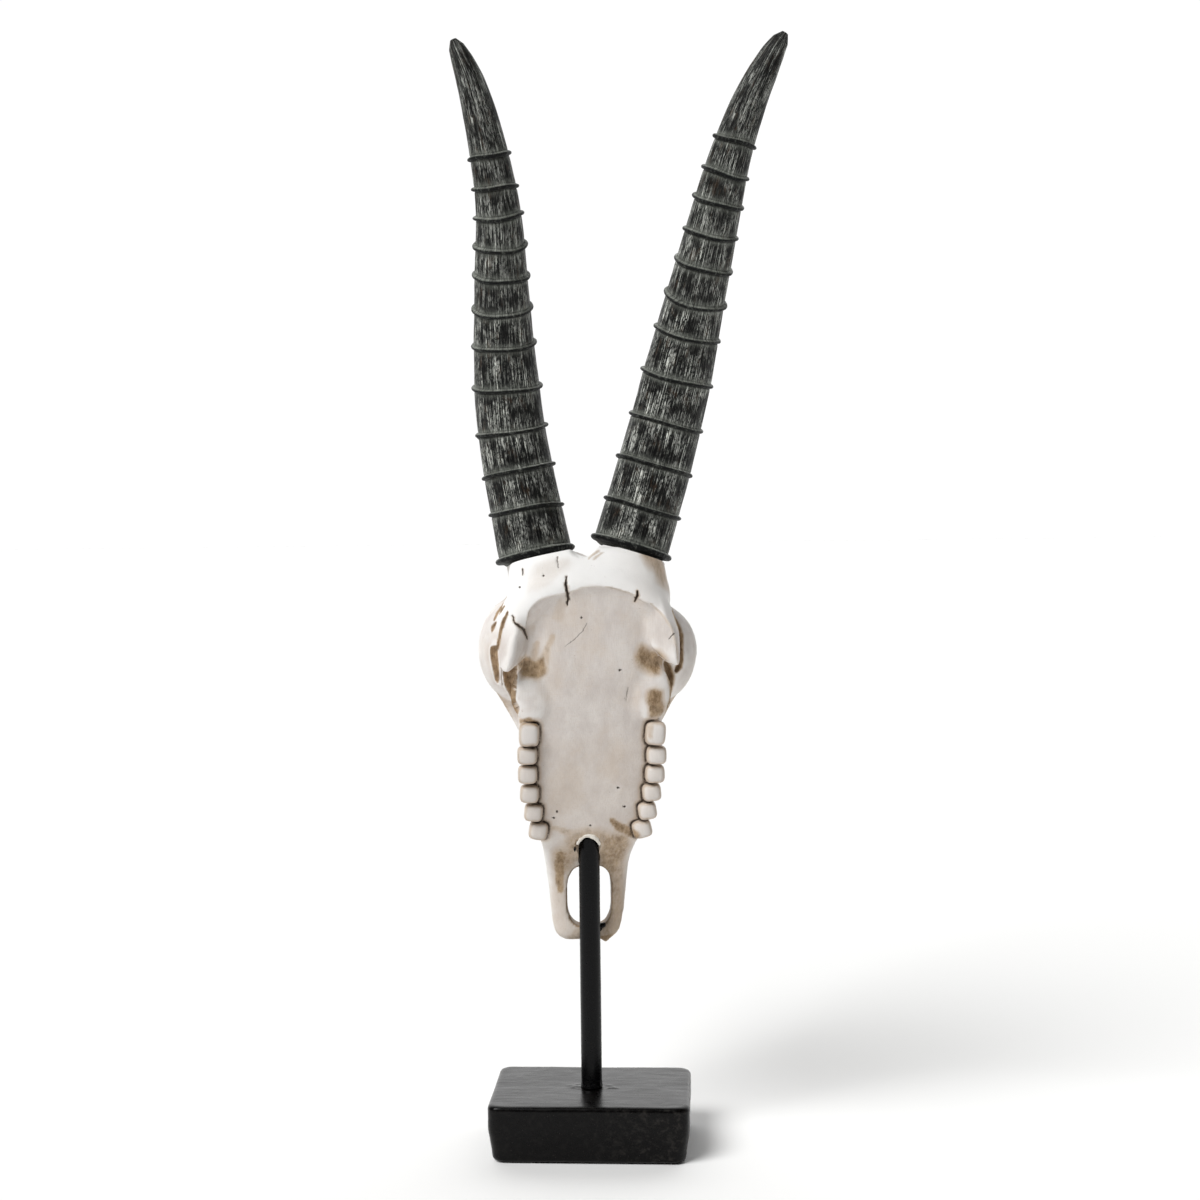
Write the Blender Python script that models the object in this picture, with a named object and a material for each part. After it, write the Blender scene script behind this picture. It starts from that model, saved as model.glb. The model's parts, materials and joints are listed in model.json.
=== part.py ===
"""Carved antelope skull on a stand: a ringed pair of horns on a cast skull, held up by a round
post on a rectangular block. Metres, +Z up, origin at the middle of the block's underside.
The skull's palate looks to -Y and its face to +Y."""
import math

import bmesh
import bpy
from mathutils import Matrix, Vector

MM = 0.001
GAP = 0.3 * MM

# Block that the post stands on, a little narrower at its foot than at its top
BASE_SIZE = (118.4 * MM, 80 * MM, 33.6 * MM)
BASE_FOOT_SHARE = 0.955
BASE_EDGE_ROUND = 2.8 * MM

# Round post, from the block's top to its hole in the palate
POST_RADIUS = 6.2 * MM
POST_TOP = 185.2 * MM
POST_MOUTH_RADIUS = 7.3 * MM
POST_MOUTH_FORWARD = 6.5 * MM
POST_WELD_RADIUS = 7.5 * MM
POST_WELD_HEIGHT = 5.0 * MM

# The skull is turned a little on the post, about the post's own axis. Its own heights, and the
# horns', start this far above the block's underside.
SKULL_TURN = math.radians(6.3)
SKULL_SIDE_SHIFT = 1.1 * MM
SKULL_RISE = 1.2

# Head, bottom to top: height, half width, back y, widest y, front y, squareness of the face, in mm.
# The jaw's tip leans to one side, by the last value.
HEAD_STATIONS = (
    (119.0, 13.6, 9.0, 12.0, 15.0, 2.2, -2.2),
    (123.5, 19.0, 7.2, 12.5, 18.5, 2.2, -2.3),
    (133.0, 21.5, 7.0, 13.0, 22.5, 2.0, -2.1),
    (152.0, 23.5, 6.6, 13.0, 28.0, 1.9, -1.8),
    (166.0, 25.0, 2.5, 11.0, 33.0, 1.8, -2.0),
    (177.0, 27.4, -5.0, 7.0, 36.5, 1.8, -1.3),
    (185.0, 30.5, -10.2, 3.0, 38.5, 1.8, -0.7),
    (203.0, 37.0, -15.6, -1.0, 42.0, 1.8, 0.0),
    (226.0, 40.6, -21.4, -4.0, 45.5, 1.8, 0.0),
    (250.0, 42.0, -27.0, -5.0, 49.5, 1.9, 0.0),
    (268.0, 42.6, -30.8, -2.0, 54.0, 2.2, 0.0),
    (284.0, 43.8, -34.0, 0.0, 57.0, 2.5, 0.0),
    (300.0, 45.6, -36.6, 2.0, 58.0, 2.6, 0.0),
    (316.0, 47.0, -38.0, 3.0, 56.0, 2.8, 0.0),
    (328.0, 48.0, -39.0, 3.0, 50.5, 2.8, 0.0),
    (338.0, 47.4, -39.6, 4.0, 43.0, 2.8, 0.0),
    (346.0, 43.0, -35.0, 4.0, 35.0, 2.6, 0.0),
    (352.0, 34.0, -23.0, 4.0, 26.0, 2.4, 0.0),
)
PALATE_SQUARENESS = 3.8

# Rounded crest over the flat back of the head, the shoulder that carries it up to the horns, and
# the lobe that hangs at either end: side, depth, height, radius in mm
CREST_PATH = (
    (47.0, -30.0, 303.0, 8.4),
    (46.2, -31.5, 313.0, 8.6),
    (38.0, -32.0, 327.5, 8.8),
    (20.0, -32.4, 338.0, 8.8),
    (0.0, -32.4, 341.8, 8.8),
)
SHOULDER_PATH = (
    (42.0, -18.0, 304.0, 10.0),
    (39.5, -21.0, 314.0, 11.5),
    (34.0, -24.0, 324.5, 12.8),
    (18.0, -25.0, 336.0, 13.2),
    (0.0, -25.0, 339.0, 13.4),
)
LOBE_PATH = (
    (47.2, -36.8, 285.8, 2.4),
    (47.2, -38.0, 290.0, 4.8),
    (47.2, -37.8, 300.0, 6.0),
    (47.0, -35.0, 312.0, 6.6),
    (44.0, -31.0, 322.0, 6.4),
)

# Cheek bulge that carries the eye socket, and the ridge from it down onto the jaw (+X side)
CHEEK_MIDDLE = (40.0, 11.0, 294.0)
CHEEK_RADII = (25.4, 25.0, 32.6)
CHEEK_RIDGE = (
    (54.0, 13.0, 279.0, 6.4),
    (45.8, 15.0, 265.0, 6.0),
    (39.4, 14.0, 251.0, 5.0),
    (35.0, 12.0, 238.0, 3.4),
)

# Eye sockets: middle of the rim, and the way the socket looks out, for the +X side
ORBIT_MIDDLE = (50.2, 21.5, 294.5)
ORBIT_OUTLOOK = (0.80, 0.58, 0.05)
ORBIT_RIM_RADIUS = 18.4
ORBIT_RIM_THICKNESS = 4.3
ORBIT_HOLLOW = (15.6, 15.6, 18.0)
ORBIT_HOLLOW_OUTWARD = 5.0

# Clefts seen from behind, outside and inside the lobe: side, depth, height, half width in mm
OUTER_CLEFT = ((51.5, -22, 319, 1.1), (54.6, -20, 304, 2.0), (56.4, -18, 290, 3.2),
               (55.6, -16, 277, 3.3), (52.0, -14, 266, 1.8))
INNER_CLEFT = ((46.4, -24, 289, 1.6), (47.0, -22, 277, 3.2), (46.4, -20, 266, 3.0),
               (44.4, -18, 258, 1.4))
CLEFT_HALF_DEPTH = 13.0

# Low knob behind the last molar, tear pit before the eye, nasal bones down the face (+X side)
KNOB = ((37.4, -28.0, 274.0), (9.5, 4.2, 13.0))
TEAR_PIT = ((38.0, 38.5, 270.0), (6.0, 7.0, 9.5))
NASAL_BONE = ((5.2, 31.4, 170.0, 3.0), (6.4, 31.9, 180.0, 6.0), (7.2, 37.1, 210.0, 7.0),
              (7.2, 40.9, 240.0, 7.2), (5.6, 45.8, 264.0, 5.0))

# Molars, the same on both sides: side, height, width, length in mm
TEETH = (
    (36.9, 247.8, 11.6, 13.4),
    (37.8, 234.8, 11.5, 10.2),
    (37.4, 223.4, 11.1, 10.0),
    (36.0, 211.8, 10.7, 9.8),
    (33.0, 200.4, 9.9, 9.6),
    (30.3, 189.5, 10.2, 9.8),
)
TOOTH_STANDS_OUT = 4.2
TOOTH_ROOT = 7.0
TOOTH_ROUND = 1.9

# Hole between the two prongs of the upper jaw's tip, and the nose opening over it
JAW_GAP = dict(side=-0.75, height=146.2, half_width=13.4, half_height=19.2, squareness=3.0)
NOSE_PASSAGE = ((0.0, 40.0, 146.0, 12.6), (0.0, 31.0, 158.0, 12.6), (0.0, 25.0, 172.0, 11.0),
                (0.0, 25.0, 186.0, 8.6), (0.0, 27.0, 198.0, 5.0))

# Horns: middle line in mm from the seat to the tip, ring places along it, share of the common girth
LEFT_HORN = dict(
    line=((-29.4, 4.0, 348.2), (-35.5, 6.0, 378.3), (-43.5, 5.6, 425.7), (-46.1, -5.6, 474.5),
          (-45.4, -23.0, 513.0), (-45.0, -36.0, 545.0), (-48.9, -43.5, 577.0),
          (-57.8, -46.0, 615.3), (-68.0, -46.6, 641.4)),
    rings=(3.5, 30.7, 54.1, 78.9, 104.7, 130.1, 152.1, 171.7, 189.3, 206.1, 221.7, 239.1),
    girth=0.98)
RIGHT_HORN = dict(
    line=((25.7, 4.0, 352.0), (33.6, 6.2, 378.5), (47.9, 7.6, 429.2), (61.0, -2.0, 480.2),
          (71.0, -18.6, 518.5), (83.6, -34.6, 567.1), (95.9, -40.0, 601.8),
          (108.6, -41.6, 627.8), (117.2, -42.0, 641.4)),
    rings=(3.5, 27.7, 53.7, 80.5, 107.5, 134.1, 155.7, 176.3, 194.5, 212.9, 229.3, 246.9),
    girth=1.03)
# Share of the way from seat to tip, and the horn's radius there in mm
HORN_GIRTH = ((0.0, 22.0), (0.17, 21.2), (0.34, 19.8), (0.50, 16.6), (0.64, 13.9), (0.78, 11.1),
              (0.86, 9.6), (0.92, 8.0), (0.96, 6.3), (0.985, 4.6), (1.0, 1.8))
RING_STANDS_OUT = 1.9
RING_HALF_LENGTH = 1.5
BASE_RING_STANDS_OUT = 2.8
BASE_RING_HALF_LENGTH = 2.4
HORN_TIP_STATIONS = (0.25, 0.5, 0.7, 0.85, 0.94, 1.0)
HORN_SIDES = 20

# Flat foot of a horn, the room it has on the skull, and the short bone core that it stands on:
# distance down from the seat and radius in mm
PLUG_RADIUS = 18.6
PLUG_DEPTH = 0.9
SEAT_ROOM = (25.6, 40.0)
STUB_STATIONS = ((30.0, 25.0), (18.0, 23.0), (8.0, 21.4), (-6.0, 21.0))

SKULL_GRAIN = 2.4 * MM
SKULL_FACES_KEPT = 0.125
SHARP_FROM = math.radians(35)


def clear_scene():
    for thing in list(bpy.data.objects):
        bpy.data.objects.remove(thing, do_unlink=True)


def make_material(name, color, roughness, metallic):
    material = bpy.data.materials.new(name)
    material.use_nodes = True
    shader = material.node_tree.nodes["Principled BSDF"]
    shader.inputs["Base Color"].default_value = (*color, 1.0)
    shader.inputs["Roughness"].default_value = roughness
    shader.inputs["Metallic"].default_value = metallic
    return material


def add_object(name, mesh_maker, material=None):
    mesh = bpy.data.meshes.new(name)
    mesh_maker.to_mesh(mesh)
    mesh_maker.free()
    thing = bpy.data.objects.new(name, mesh)
    bpy.context.scene.collection.objects.link(thing)
    if material:
        mesh.materials.append(material)
    return thing


def shade(thing):
    thing.data.shade_smooth()
    thing.data.set_sharp_from_angle(angle=SHARP_FROM)


def smooth_read(rows, count):
    """Read count rows from a smooth curve through the given rows, evenly along them."""
    last = len(rows) - 1
    out = []
    for step in range(count):
        place = last * step / (count - 1)
        index = min(int(place), last - 1)
        t = place - index
        before, start = rows[max(index - 1, 0)], rows[index]
        end, after = rows[index + 1], rows[min(index + 2, last)]
        out.append(tuple(
            0.5 * (2 * b + (c - a) * t + (2 * a - 5 * b + 4 * c - d) * t ** 2
                   + (3 * b - a - 3 * c + d) * t ** 3)
            for a, b, c, d in zip(before, start, end, after)))
    return out


def straight_read(pairs, place):
    """Value at a place, on straight stretches between (place, value) pairs."""
    for (a, low), (b, high) in zip(pairs, pairs[1:]):
        if place <= b:
            return low + (high - low) * (place - a) / (b - a)
    return pairs[-1][1]


def signed_power(value, power):
    return math.copysign(abs(value) ** power, value)


def bridge_rings(shape, rings):
    """Close a stack of point rings into one body with a fan at either end."""
    loops = [[shape.verts.new(point) for point in ring] for ring in rings]
    for lower, upper in zip(loops, loops[1:]):
        count = len(lower)
        for i in range(count):
            shape.faces.new((lower[i], lower[(i + 1) % count], upper[(i + 1) % count], upper[i]))
    shape.faces.new(list(reversed(loops[0])))
    shape.faces.new(loops[-1])


def add_tube(shape, path, sides):
    """Round bar through (x, y, z, radius) stations, ends closed."""
    centers = [Vector(row[:3]) for row in path]
    rings = []
    side = None
    for index, center in enumerate(centers):
        ahead = centers[min(index + 1, len(centers) - 1)]
        behind = centers[max(index - 1, 0)]
        along = (ahead - behind).normalized()
        if side is None:
            side = along.orthogonal().normalized()
        side = (side - along * side.dot(along)).normalized()
        across = along.cross(side)
        rings.append([center + (side * math.cos(a) + across * math.sin(a)) * path[index][3]
                      for a in (2 * math.pi * i / sides for i in range(sides))])
    bridge_rings(shape, rings)


def add_ball(shape, middle, radii, turn=Matrix(), rings=14):
    placed = Matrix.Translation(middle) @ turn.to_4x4() @ Matrix.Diagonal((*radii, 1.0))
    bmesh.ops.create_uvsphere(shape, u_segments=2 * rings, v_segments=rings, radius=1.0,
                              matrix=placed)


def mirrored(path, side):
    return [(row[0] * side, *row[1:]) for row in path]


def to_metres(shape):
    bmesh.ops.scale(shape, vec=(MM, MM, MM), verts=shape.verts)
    bmesh.ops.recalc_face_normals(shape, faces=shape.faces)


def head_ring(station, sides=48):
    height, half_width, back, widest, front, face_squareness, lean = station
    ring = []
    for i in range(sides):
        angle = 2 * math.pi * i / sides
        c, s = math.cos(angle), math.sin(angle)
        power = PALATE_SQUARENESS if s < 0 else face_squareness
        reach = (widest - back) if s < 0 else (front - widest)
        ring.append(Vector((lean + signed_power(c, 2 / power) * half_width,
                            widest + signed_power(s, 2 / power) * reach, height)))
    return ring


def palate_y(height):
    """Depth of the palate at a height, read from the head's stations."""
    return straight_read([(row[0], row[2]) for row in HEAD_STATIONS], height)


def outlook_turn(side):
    """The way an eye socket looks out on one side, and the turn that points +Z that way."""
    look = Vector((ORBIT_OUTLOOK[0] * side, ORBIT_OUTLOOK[1], ORBIT_OUTLOOK[2])).normalized()
    return look, look.to_track_quat("Z", "Y").to_matrix()


def to_side(point, side):
    return Vector((point[0] * side, point[1], point[2]))


def head_shape():
    """Everything that is melted together into the head, in the skull's own frame."""
    shape = bmesh.new()
    bridge_rings(shape, [head_ring(row) for row in smooth_read(HEAD_STATIONS, 46)])
    for side in (-1, 1):
        add_tube(shape, smooth_read(mirrored(CREST_PATH, side), 22), 14)
        add_tube(shape, smooth_read(mirrored(SHOULDER_PATH, side), 22), 18)
        add_tube(shape, smooth_read(mirrored(LOBE_PATH, side), 18), 12)
        add_ball(shape, to_side(CHEEK_MIDDLE, side), CHEEK_RADII, rings=18)
        add_tube(shape, smooth_read(mirrored(CHEEK_RIDGE, side), 14), 12)
        _look, turn = outlook_turn(side)
        middle = to_side(ORBIT_MIDDLE, side)
        rim = [middle + turn @ Vector((math.cos(a), math.sin(a), 0)) * ORBIT_RIM_RADIUS
               for a in (2 * math.pi * i / 24 for i in range(25))]
        add_tube(shape, [(*point, ORBIT_RIM_THICKNESS) for point in rim], 12)
        add_ball(shape, to_side(KNOB[0], side), KNOB[1])
        add_tube(shape, smooth_read(mirrored(NASAL_BONE, side), 16), 12)
    to_metres(shape)
    return shape


def teeth_shape():
    """Two rows of six rounded blocks, each with its root in the palate."""
    shape = bmesh.new()
    for side in (-1, 1):
        for across, height, width, length in TEETH:
            tooth = bmesh.new()
            bmesh.ops.create_cube(tooth, size=1.0)
            bmesh.ops.scale(tooth, vec=(width, TOOTH_STANDS_OUT + TOOTH_ROOT, length),
                            verts=tooth.verts)
            bmesh.ops.bevel(tooth, geom=list(tooth.edges), offset=TOOTH_ROUND, segments=1,
                            profile=0.5, affect="EDGES")
            depth = palate_y(height) + (TOOTH_ROOT - TOOTH_STANDS_OUT) / 2
            bmesh.ops.translate(tooth, vec=(across * side, depth, height), verts=tooth.verts)
            spare = bpy.data.meshes.new("tooth")
            tooth.to_mesh(spare)
            tooth.free()
            shape.from_mesh(spare)
            bpy.data.meshes.remove(spare)
    to_metres(shape)
    return shape


def horn_points(horn, distances):
    """Points on a horn's middle line at the given distances from its seat, and its length."""
    line = [Vector(row) + Vector((0, 0, SKULL_RISE)) for row in smooth_read(horn["line"], 160)]
    reached = [0.0]
    for a, b in zip(line, line[1:]):
        reached.append(reached[-1] + (b - a).length)
    points = []
    for distance in distances:
        index = next((i for i in range(1, len(line)) if reached[i] >= distance), len(line) - 1)
        share = (distance - reached[index - 1]) / (reached[index] - reached[index - 1])
        points.append(line[index - 1].lerp(line[index], share))
    return points, reached[-1]


def horn_seat(horn):
    """Middle of a horn's flat foot, and the way it points."""
    (seat, plug_top), _length = horn_points(horn, (0.0, PLUG_DEPTH))
    return seat, (plug_top - seat).normalized()


def stub_shape(horn):
    """Short bone core under one horn, along the horn's own line."""
    seat, along = horn_seat(horn)
    shape = bmesh.new()
    add_tube(shape, [(*(seat - along * down), radius)
                     for down, radius in STUB_STATIONS], 24)
    to_metres(shape)
    return shape


def make_skull(material):
    skull = add_object("skull", head_shape(), material)
    skull.location = (SKULL_SIDE_SHIFT, 0, SKULL_RISE * MM)
    skull.rotation_euler.z = SKULL_TURN
    bpy.context.view_layer.update()
    into_skull = skull.matrix_world.inverted()
    whole = bmesh.new()
    whole.from_mesh(skull.data)
    for horn in (LEFT_HORN, RIGHT_HORN):
        stub = stub_shape(horn)
        stub.transform(into_skull)
        spare = bpy.data.meshes.new("stub")
        stub.to_mesh(spare)
        stub.free()
        whole.from_mesh(spare)
        bpy.data.meshes.remove(spare)
    whole.to_mesh(skull.data)
    whole.free()
    return skull


def cutter(name, shape):
    thing = add_object(name, shape)
    thing.hide_render = True
    thing.display_type = "WIRE"
    return thing


def combine(target, tool, operation):
    step = target.modifiers.new(tool.name, "BOOLEAN")
    step.operation = operation
    step.solver = "EXACT"
    step.object = tool


def add_cleft(shape, path, sides=12):
    """Deep slot that follows a path seen from behind."""
    rings = []
    for across, depth, height, half_width in path:
        rings.append([Vector((across + math.cos(a) * half_width,
                              depth + math.sin(a) * CLEFT_HALF_DEPTH, height))
                      for a in (2 * math.pi * i / sides for i in range(sides))])
    bridge_rings(shape, rings)


def hollows_shape():
    """Eye sockets, tear pits, clefts and the nose passage."""
    shape = bmesh.new()
    for side in (-1, 1):
        look, turn = outlook_turn(side)
        add_ball(shape, to_side(ORBIT_MIDDLE, side) + look * ORBIT_HOLLOW_OUTWARD, ORBIT_HOLLOW, turn)
        add_ball(shape, to_side(TEAR_PIT[0], side), TEAR_PIT[1])
        add_cleft(shape, smooth_read(mirrored(OUTER_CLEFT, side), 14))
        add_cleft(shape, smooth_read(mirrored(INNER_CLEFT, side), 10))
    add_tube(shape, smooth_read(NOSE_PASSAGE, 16), 16)
    to_metres(shape)
    return shape


def jaw_gap_shape(sides=28):
    shape = bmesh.new()
    rings = []
    power = 2 / JAW_GAP["squareness"]
    for depth in (-20.0, 60.0):
        rings.append([Vector((JAW_GAP["side"]
                              + signed_power(math.cos(a), power) * JAW_GAP["half_width"], depth,
                              JAW_GAP["height"]
                              + signed_power(math.sin(a), power) * JAW_GAP["half_height"]))
                      for a in (2 * math.pi * i / sides for i in range(sides))])
    bridge_rings(shape, rings)
    to_metres(shape)
    return shape


def seat_cutter(name, horn):
    """Room for one horn above its flat seat on the skull."""
    seat, along = horn_seat(horn)
    shape = bmesh.new()
    start = seat - along * (GAP / MM)
    radius, height = SEAT_ROOM
    add_tube(shape, [(*start, radius), (*(start + along * height), radius)], 32)
    to_metres(shape)
    return cutter(name, shape)


def post_cutter():
    """Hole for the post, with a mouth that opens it through the palate."""
    top = POST_TOP + GAP
    shape = bmesh.new()
    bmesh.ops.create_cone(shape, cap_ends=True, segments=32, radius1=POST_RADIUS + GAP,
                          radius2=POST_RADIUS + GAP, depth=top,
                          matrix=Matrix.Translation((0, 0, top / 2)))
    return cutter("post_hole", shape)


def post_mouth_cutter():
    shape = bmesh.new()
    bottom = JAW_GAP["height"] * MM
    top = POST_TOP + GAP + 1.2 * MM
    path = [(0, -POST_MOUTH_FORWARD, height, radius) for height, radius in (
        (bottom, POST_MOUTH_RADIUS), (top - 3.4 * MM, POST_MOUTH_RADIUS),
        (top - 1.2 * MM, POST_MOUTH_RADIUS * 0.8), (top, POST_MOUTH_RADIUS * 0.4))]
    add_tube(shape, path, 24)
    bmesh.ops.recalc_face_normals(shape, faces=shape.faces)
    return cutter("post_mouth", shape)


def finish_skull(skull):
    """Melt the head's forms into one, hollow it out, set the teeth in and cut the seats flat."""
    melt = skull.modifiers.new("melt", "REMESH")
    melt.mode = "VOXEL"
    melt.voxel_size = SKULL_GRAIN
    soften = skull.modifiers.new("soften", "SMOOTH")
    soften.factor = 0.5
    soften.iterations = 3
    for name, maker in (("hollows", hollows_shape), ("jaw_gap", jaw_gap_shape)):
        tool = cutter(name, maker())
        tool.parent = skull
        combine(skull, tool, "DIFFERENCE")
    thin = skull.modifiers.new("thin", "DECIMATE")
    thin.decimate_type = "COLLAPSE"
    thin.ratio = SKULL_FACES_KEPT
    teeth = cutter("teeth", teeth_shape())
    teeth.parent = skull
    combine(skull, teeth, "UNION")
    combine(skull, seat_cutter("left_seat", LEFT_HORN), "DIFFERENCE")
    combine(skull, seat_cutter("right_seat", RIGHT_HORN), "DIFFERENCE")
    combine(skull, post_cutter(), "DIFFERENCE")
    combine(skull, post_mouth_cutter(), "DIFFERENCE")


def horn_profile(horn, length):
    """(distance from the seat, radius) stations with the rings standing out."""
    def body(distance):
        return straight_read(HORN_GIRTH, distance / length) * horn["girth"]

    stations = [(0.0, PLUG_RADIUS), (PLUG_DEPTH, PLUG_RADIUS)]
    for index, place in enumerate(horn["rings"]):
        half = BASE_RING_HALF_LENGTH if index == 0 else RING_HALF_LENGTH
        out = BASE_RING_STANDS_OUT if index == 0 else RING_STANDS_OUT
        if index == 0:
            stations.append((place - half + 0.2, body(place)))
        else:
            stations.append((place - half, body(place - half)))
        stations.append((place, body(place) + out))
        stations.append((place + half, body(place + half)))
    top_ring = horn["rings"][-1]
    for share in HORN_TIP_STATIONS:
        distance = top_ring + (length - top_ring) * share
        stations.append((distance, body(distance)))
    return stations


def make_horn(name, horn, material):
    length = horn_points(horn, ())[1]
    profile = horn_profile(horn, length)
    points = horn_points(horn, [distance for distance, _radius in profile])[0]
    shape = bmesh.new()
    add_tube(shape, [(*point, radius) for point, (_distance, radius) in zip(points, profile)],
             HORN_SIDES)
    to_metres(shape)
    thing = add_object(name, shape, material)
    shade(thing)
    return thing


def make_base(material):
    shape = bmesh.new()
    bmesh.ops.create_cube(shape, size=1.0)
    for vert in shape.verts:
        share = BASE_FOOT_SHARE if vert.co.z < 0 else 1.0
        vert.co.x *= BASE_SIZE[0] * share
        vert.co.y *= BASE_SIZE[1] * share
        vert.co.z = BASE_SIZE[2] if vert.co.z > 0 else 0.0
    bmesh.ops.bevel(shape, geom=list(shape.edges), offset=BASE_EDGE_ROUND, segments=3,
                    profile=0.5, affect="EDGES")
    thing = add_object("base", shape, material)
    shade(thing)


def make_post(material):
    foot = BASE_SIZE[2] / MM + GAP / MM
    shape = bmesh.new()
    weld = POST_WELD_RADIUS / MM
    radius = POST_RADIUS / MM
    height = POST_WELD_HEIGHT / MM
    add_tube(shape, [(0, 0, foot, weld), (0, 0, foot + height * 0.35, weld - 0.9),
                     (0, 0, foot + height, radius), (0, 0, POST_TOP / MM, radius)], 28)
    to_metres(shape)
    thing = add_object("post", shape, material)
    shade(thing)


def main():
    clear_scene()
    resin = make_material("bone_white_resin", (0.72, 0.68, 0.62), 0.6, 0.0)
    horn_resin = make_material("charcoal_horn_resin", (0.035, 0.037, 0.036), 0.55, 0.0)
    satin_black = make_material("satin_black_paint", (0.012, 0.012, 0.013), 0.35, 0.0)
    gloss_black = make_material("gloss_black_paint", (0.01, 0.01, 0.011), 0.25, 0.0)
    make_base(satin_black)
    make_post(gloss_black)
    finish_skull(make_skull(resin))
    make_horn("horn_left", LEFT_HORN, horn_resin)
    make_horn("horn_right", RIGHT_HORN, horn_resin)


main()
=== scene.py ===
# Carved antelope skull on a stand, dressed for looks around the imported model.
# Sizes are in mm unless a note says otherwise; +Z is up and the palate looks to -Y.
import itertools
import json
import math

import bmesh
import bpy
import numpy as np
from mathutils import Matrix, Vector


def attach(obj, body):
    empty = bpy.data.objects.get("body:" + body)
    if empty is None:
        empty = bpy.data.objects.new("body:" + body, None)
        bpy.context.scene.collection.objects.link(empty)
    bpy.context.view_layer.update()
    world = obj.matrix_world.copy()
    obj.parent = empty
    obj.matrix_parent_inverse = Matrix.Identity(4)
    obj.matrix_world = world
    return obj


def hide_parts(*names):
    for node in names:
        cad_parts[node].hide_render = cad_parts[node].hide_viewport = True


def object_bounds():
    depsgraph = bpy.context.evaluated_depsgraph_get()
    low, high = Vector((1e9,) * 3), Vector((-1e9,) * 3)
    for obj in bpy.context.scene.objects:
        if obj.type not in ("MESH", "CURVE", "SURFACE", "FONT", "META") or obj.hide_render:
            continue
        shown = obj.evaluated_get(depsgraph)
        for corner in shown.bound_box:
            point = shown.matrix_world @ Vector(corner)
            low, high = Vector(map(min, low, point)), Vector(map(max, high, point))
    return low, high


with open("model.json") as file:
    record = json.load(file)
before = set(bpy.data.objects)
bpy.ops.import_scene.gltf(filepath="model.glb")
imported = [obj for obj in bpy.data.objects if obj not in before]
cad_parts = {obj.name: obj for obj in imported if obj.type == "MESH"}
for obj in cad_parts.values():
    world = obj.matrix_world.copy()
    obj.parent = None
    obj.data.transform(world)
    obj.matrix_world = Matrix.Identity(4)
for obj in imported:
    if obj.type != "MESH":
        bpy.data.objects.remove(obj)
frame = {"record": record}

mm = 0.001
cadBox = [list(corner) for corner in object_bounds()]
roomInBox = 0.02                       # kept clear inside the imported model's box
slots = {row["node"]: row["material_slot"] for row in frame["record"]["subparts"]}


# Numbers and paths

def smoothRead(rows, count, closed=False):
    # count rows from a smooth curve through the given rows
    last = len(rows) if closed else len(rows) - 1
    out = []
    for step in range(count):
        place = last * step / (count if closed else count - 1)
        index = min(int(place), last - 1)
        t = place - index
        if closed:
            four = [rows[(index + k) % len(rows)] for k in (-1, 0, 1, 2)]
        else:
            four = [rows[min(max(index + k, 0), last)] for k in (-1, 0, 1, 2)]
        out.append(tuple(0.5 * (2 * b + (c - a) * t + (2 * a - 5 * b + 4 * c - d) * t ** 2
                                + (3 * b - a - 3 * c + d) * t ** 3)
                         for a, b, c, d in zip(*four)))
    return out


def smoothStep(low, high, values):
    t = np.clip((values - low) / (high - low), 0, 1)
    return t * t * (3 - 2 * t)


def signedPower(value, power):
    return math.copysign(abs(value) ** power, value)


def latticeValue(cell, seed):
    # one repeatable value from 0 to 1 for each whole-number place
    mixed = (cell[:, 0] * 73856093) ^ (cell[:, 1] * 19349663) ^ (cell[:, 2] * 83492791) ^ (seed * 7919)
    mixed = ((mixed ^ (mixed >> 13)) * 1274126177) & 0xFFFFFFFF
    return ((mixed ^ (mixed >> 15)) & 0xFFFF) / 65535.0


def unevenness(points, grain, seed, octaves=1):
    # smooth noise from -1 to 1, its grain in mm, one size or one for each direction
    total, whole = np.zeros(len(points)), 0.0
    for octave in range(octaves):
        place = points / (np.asarray(grain, float) / 2 ** octave)
        low = np.floor(place).astype(np.int64)
        part = place - low
        part = part * part * (3 - 2 * part)
        value = np.zeros(len(points))
        for corner in itertools.product((0, 1), repeat=3):
            weight = np.prod(np.where(corner, part, 1 - part), axis=1)
            value += weight * latticeValue(low + np.array(corner), seed + octave)
        total += (2 * value - 1) * 0.5 ** octave
        whole += 0.5 ** octave
    return total / whole


def nearness(flat, path):
    # least distance from each flat place to a path of (a, b, half width), in half widths
    best = np.full(len(flat), 1e9)
    for (ax, ay, aw), (bx, by, bw) in zip(path, path[1:]):
        dx, dy = bx - ax, by - ay
        t = np.clip(((flat[:, 0] - ax) * dx + (flat[:, 1] - ay) * dy) / (dx * dx + dy * dy), 0, 1)
        away = np.hypot(flat[:, 0] - ax - t * dx, flat[:, 1] - ay - t * dy)
        best = np.minimum(best, away / (aw + (bw - aw) * t))
    return best


def insideBy(flat, outline):
    # distance to a closed outline, positive inside it
    best, inside = np.full(len(flat), 1e9), np.zeros(len(flat), bool)
    for (ax, ay), (bx, by) in zip(outline, outline[1:] + outline[:1]):
        dx, dy = bx - ax, by - ay
        t = np.clip(((flat[:, 0] - ax) * dx + (flat[:, 1] - ay) * dy) / (dx * dx + dy * dy + 1e-9), 0, 1)
        best = np.minimum(best, np.hypot(flat[:, 0] - ax - t * dx, flat[:, 1] - ay - t * dy))
        if ay != by:
            crosses = (ay > flat[:, 1]) != (by > flat[:, 1])
            inside ^= crosses & (flat[:, 0] < ax + dx * (flat[:, 1] - ay) / dy)
    return np.where(inside, best, -best)


# Meshes

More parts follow.
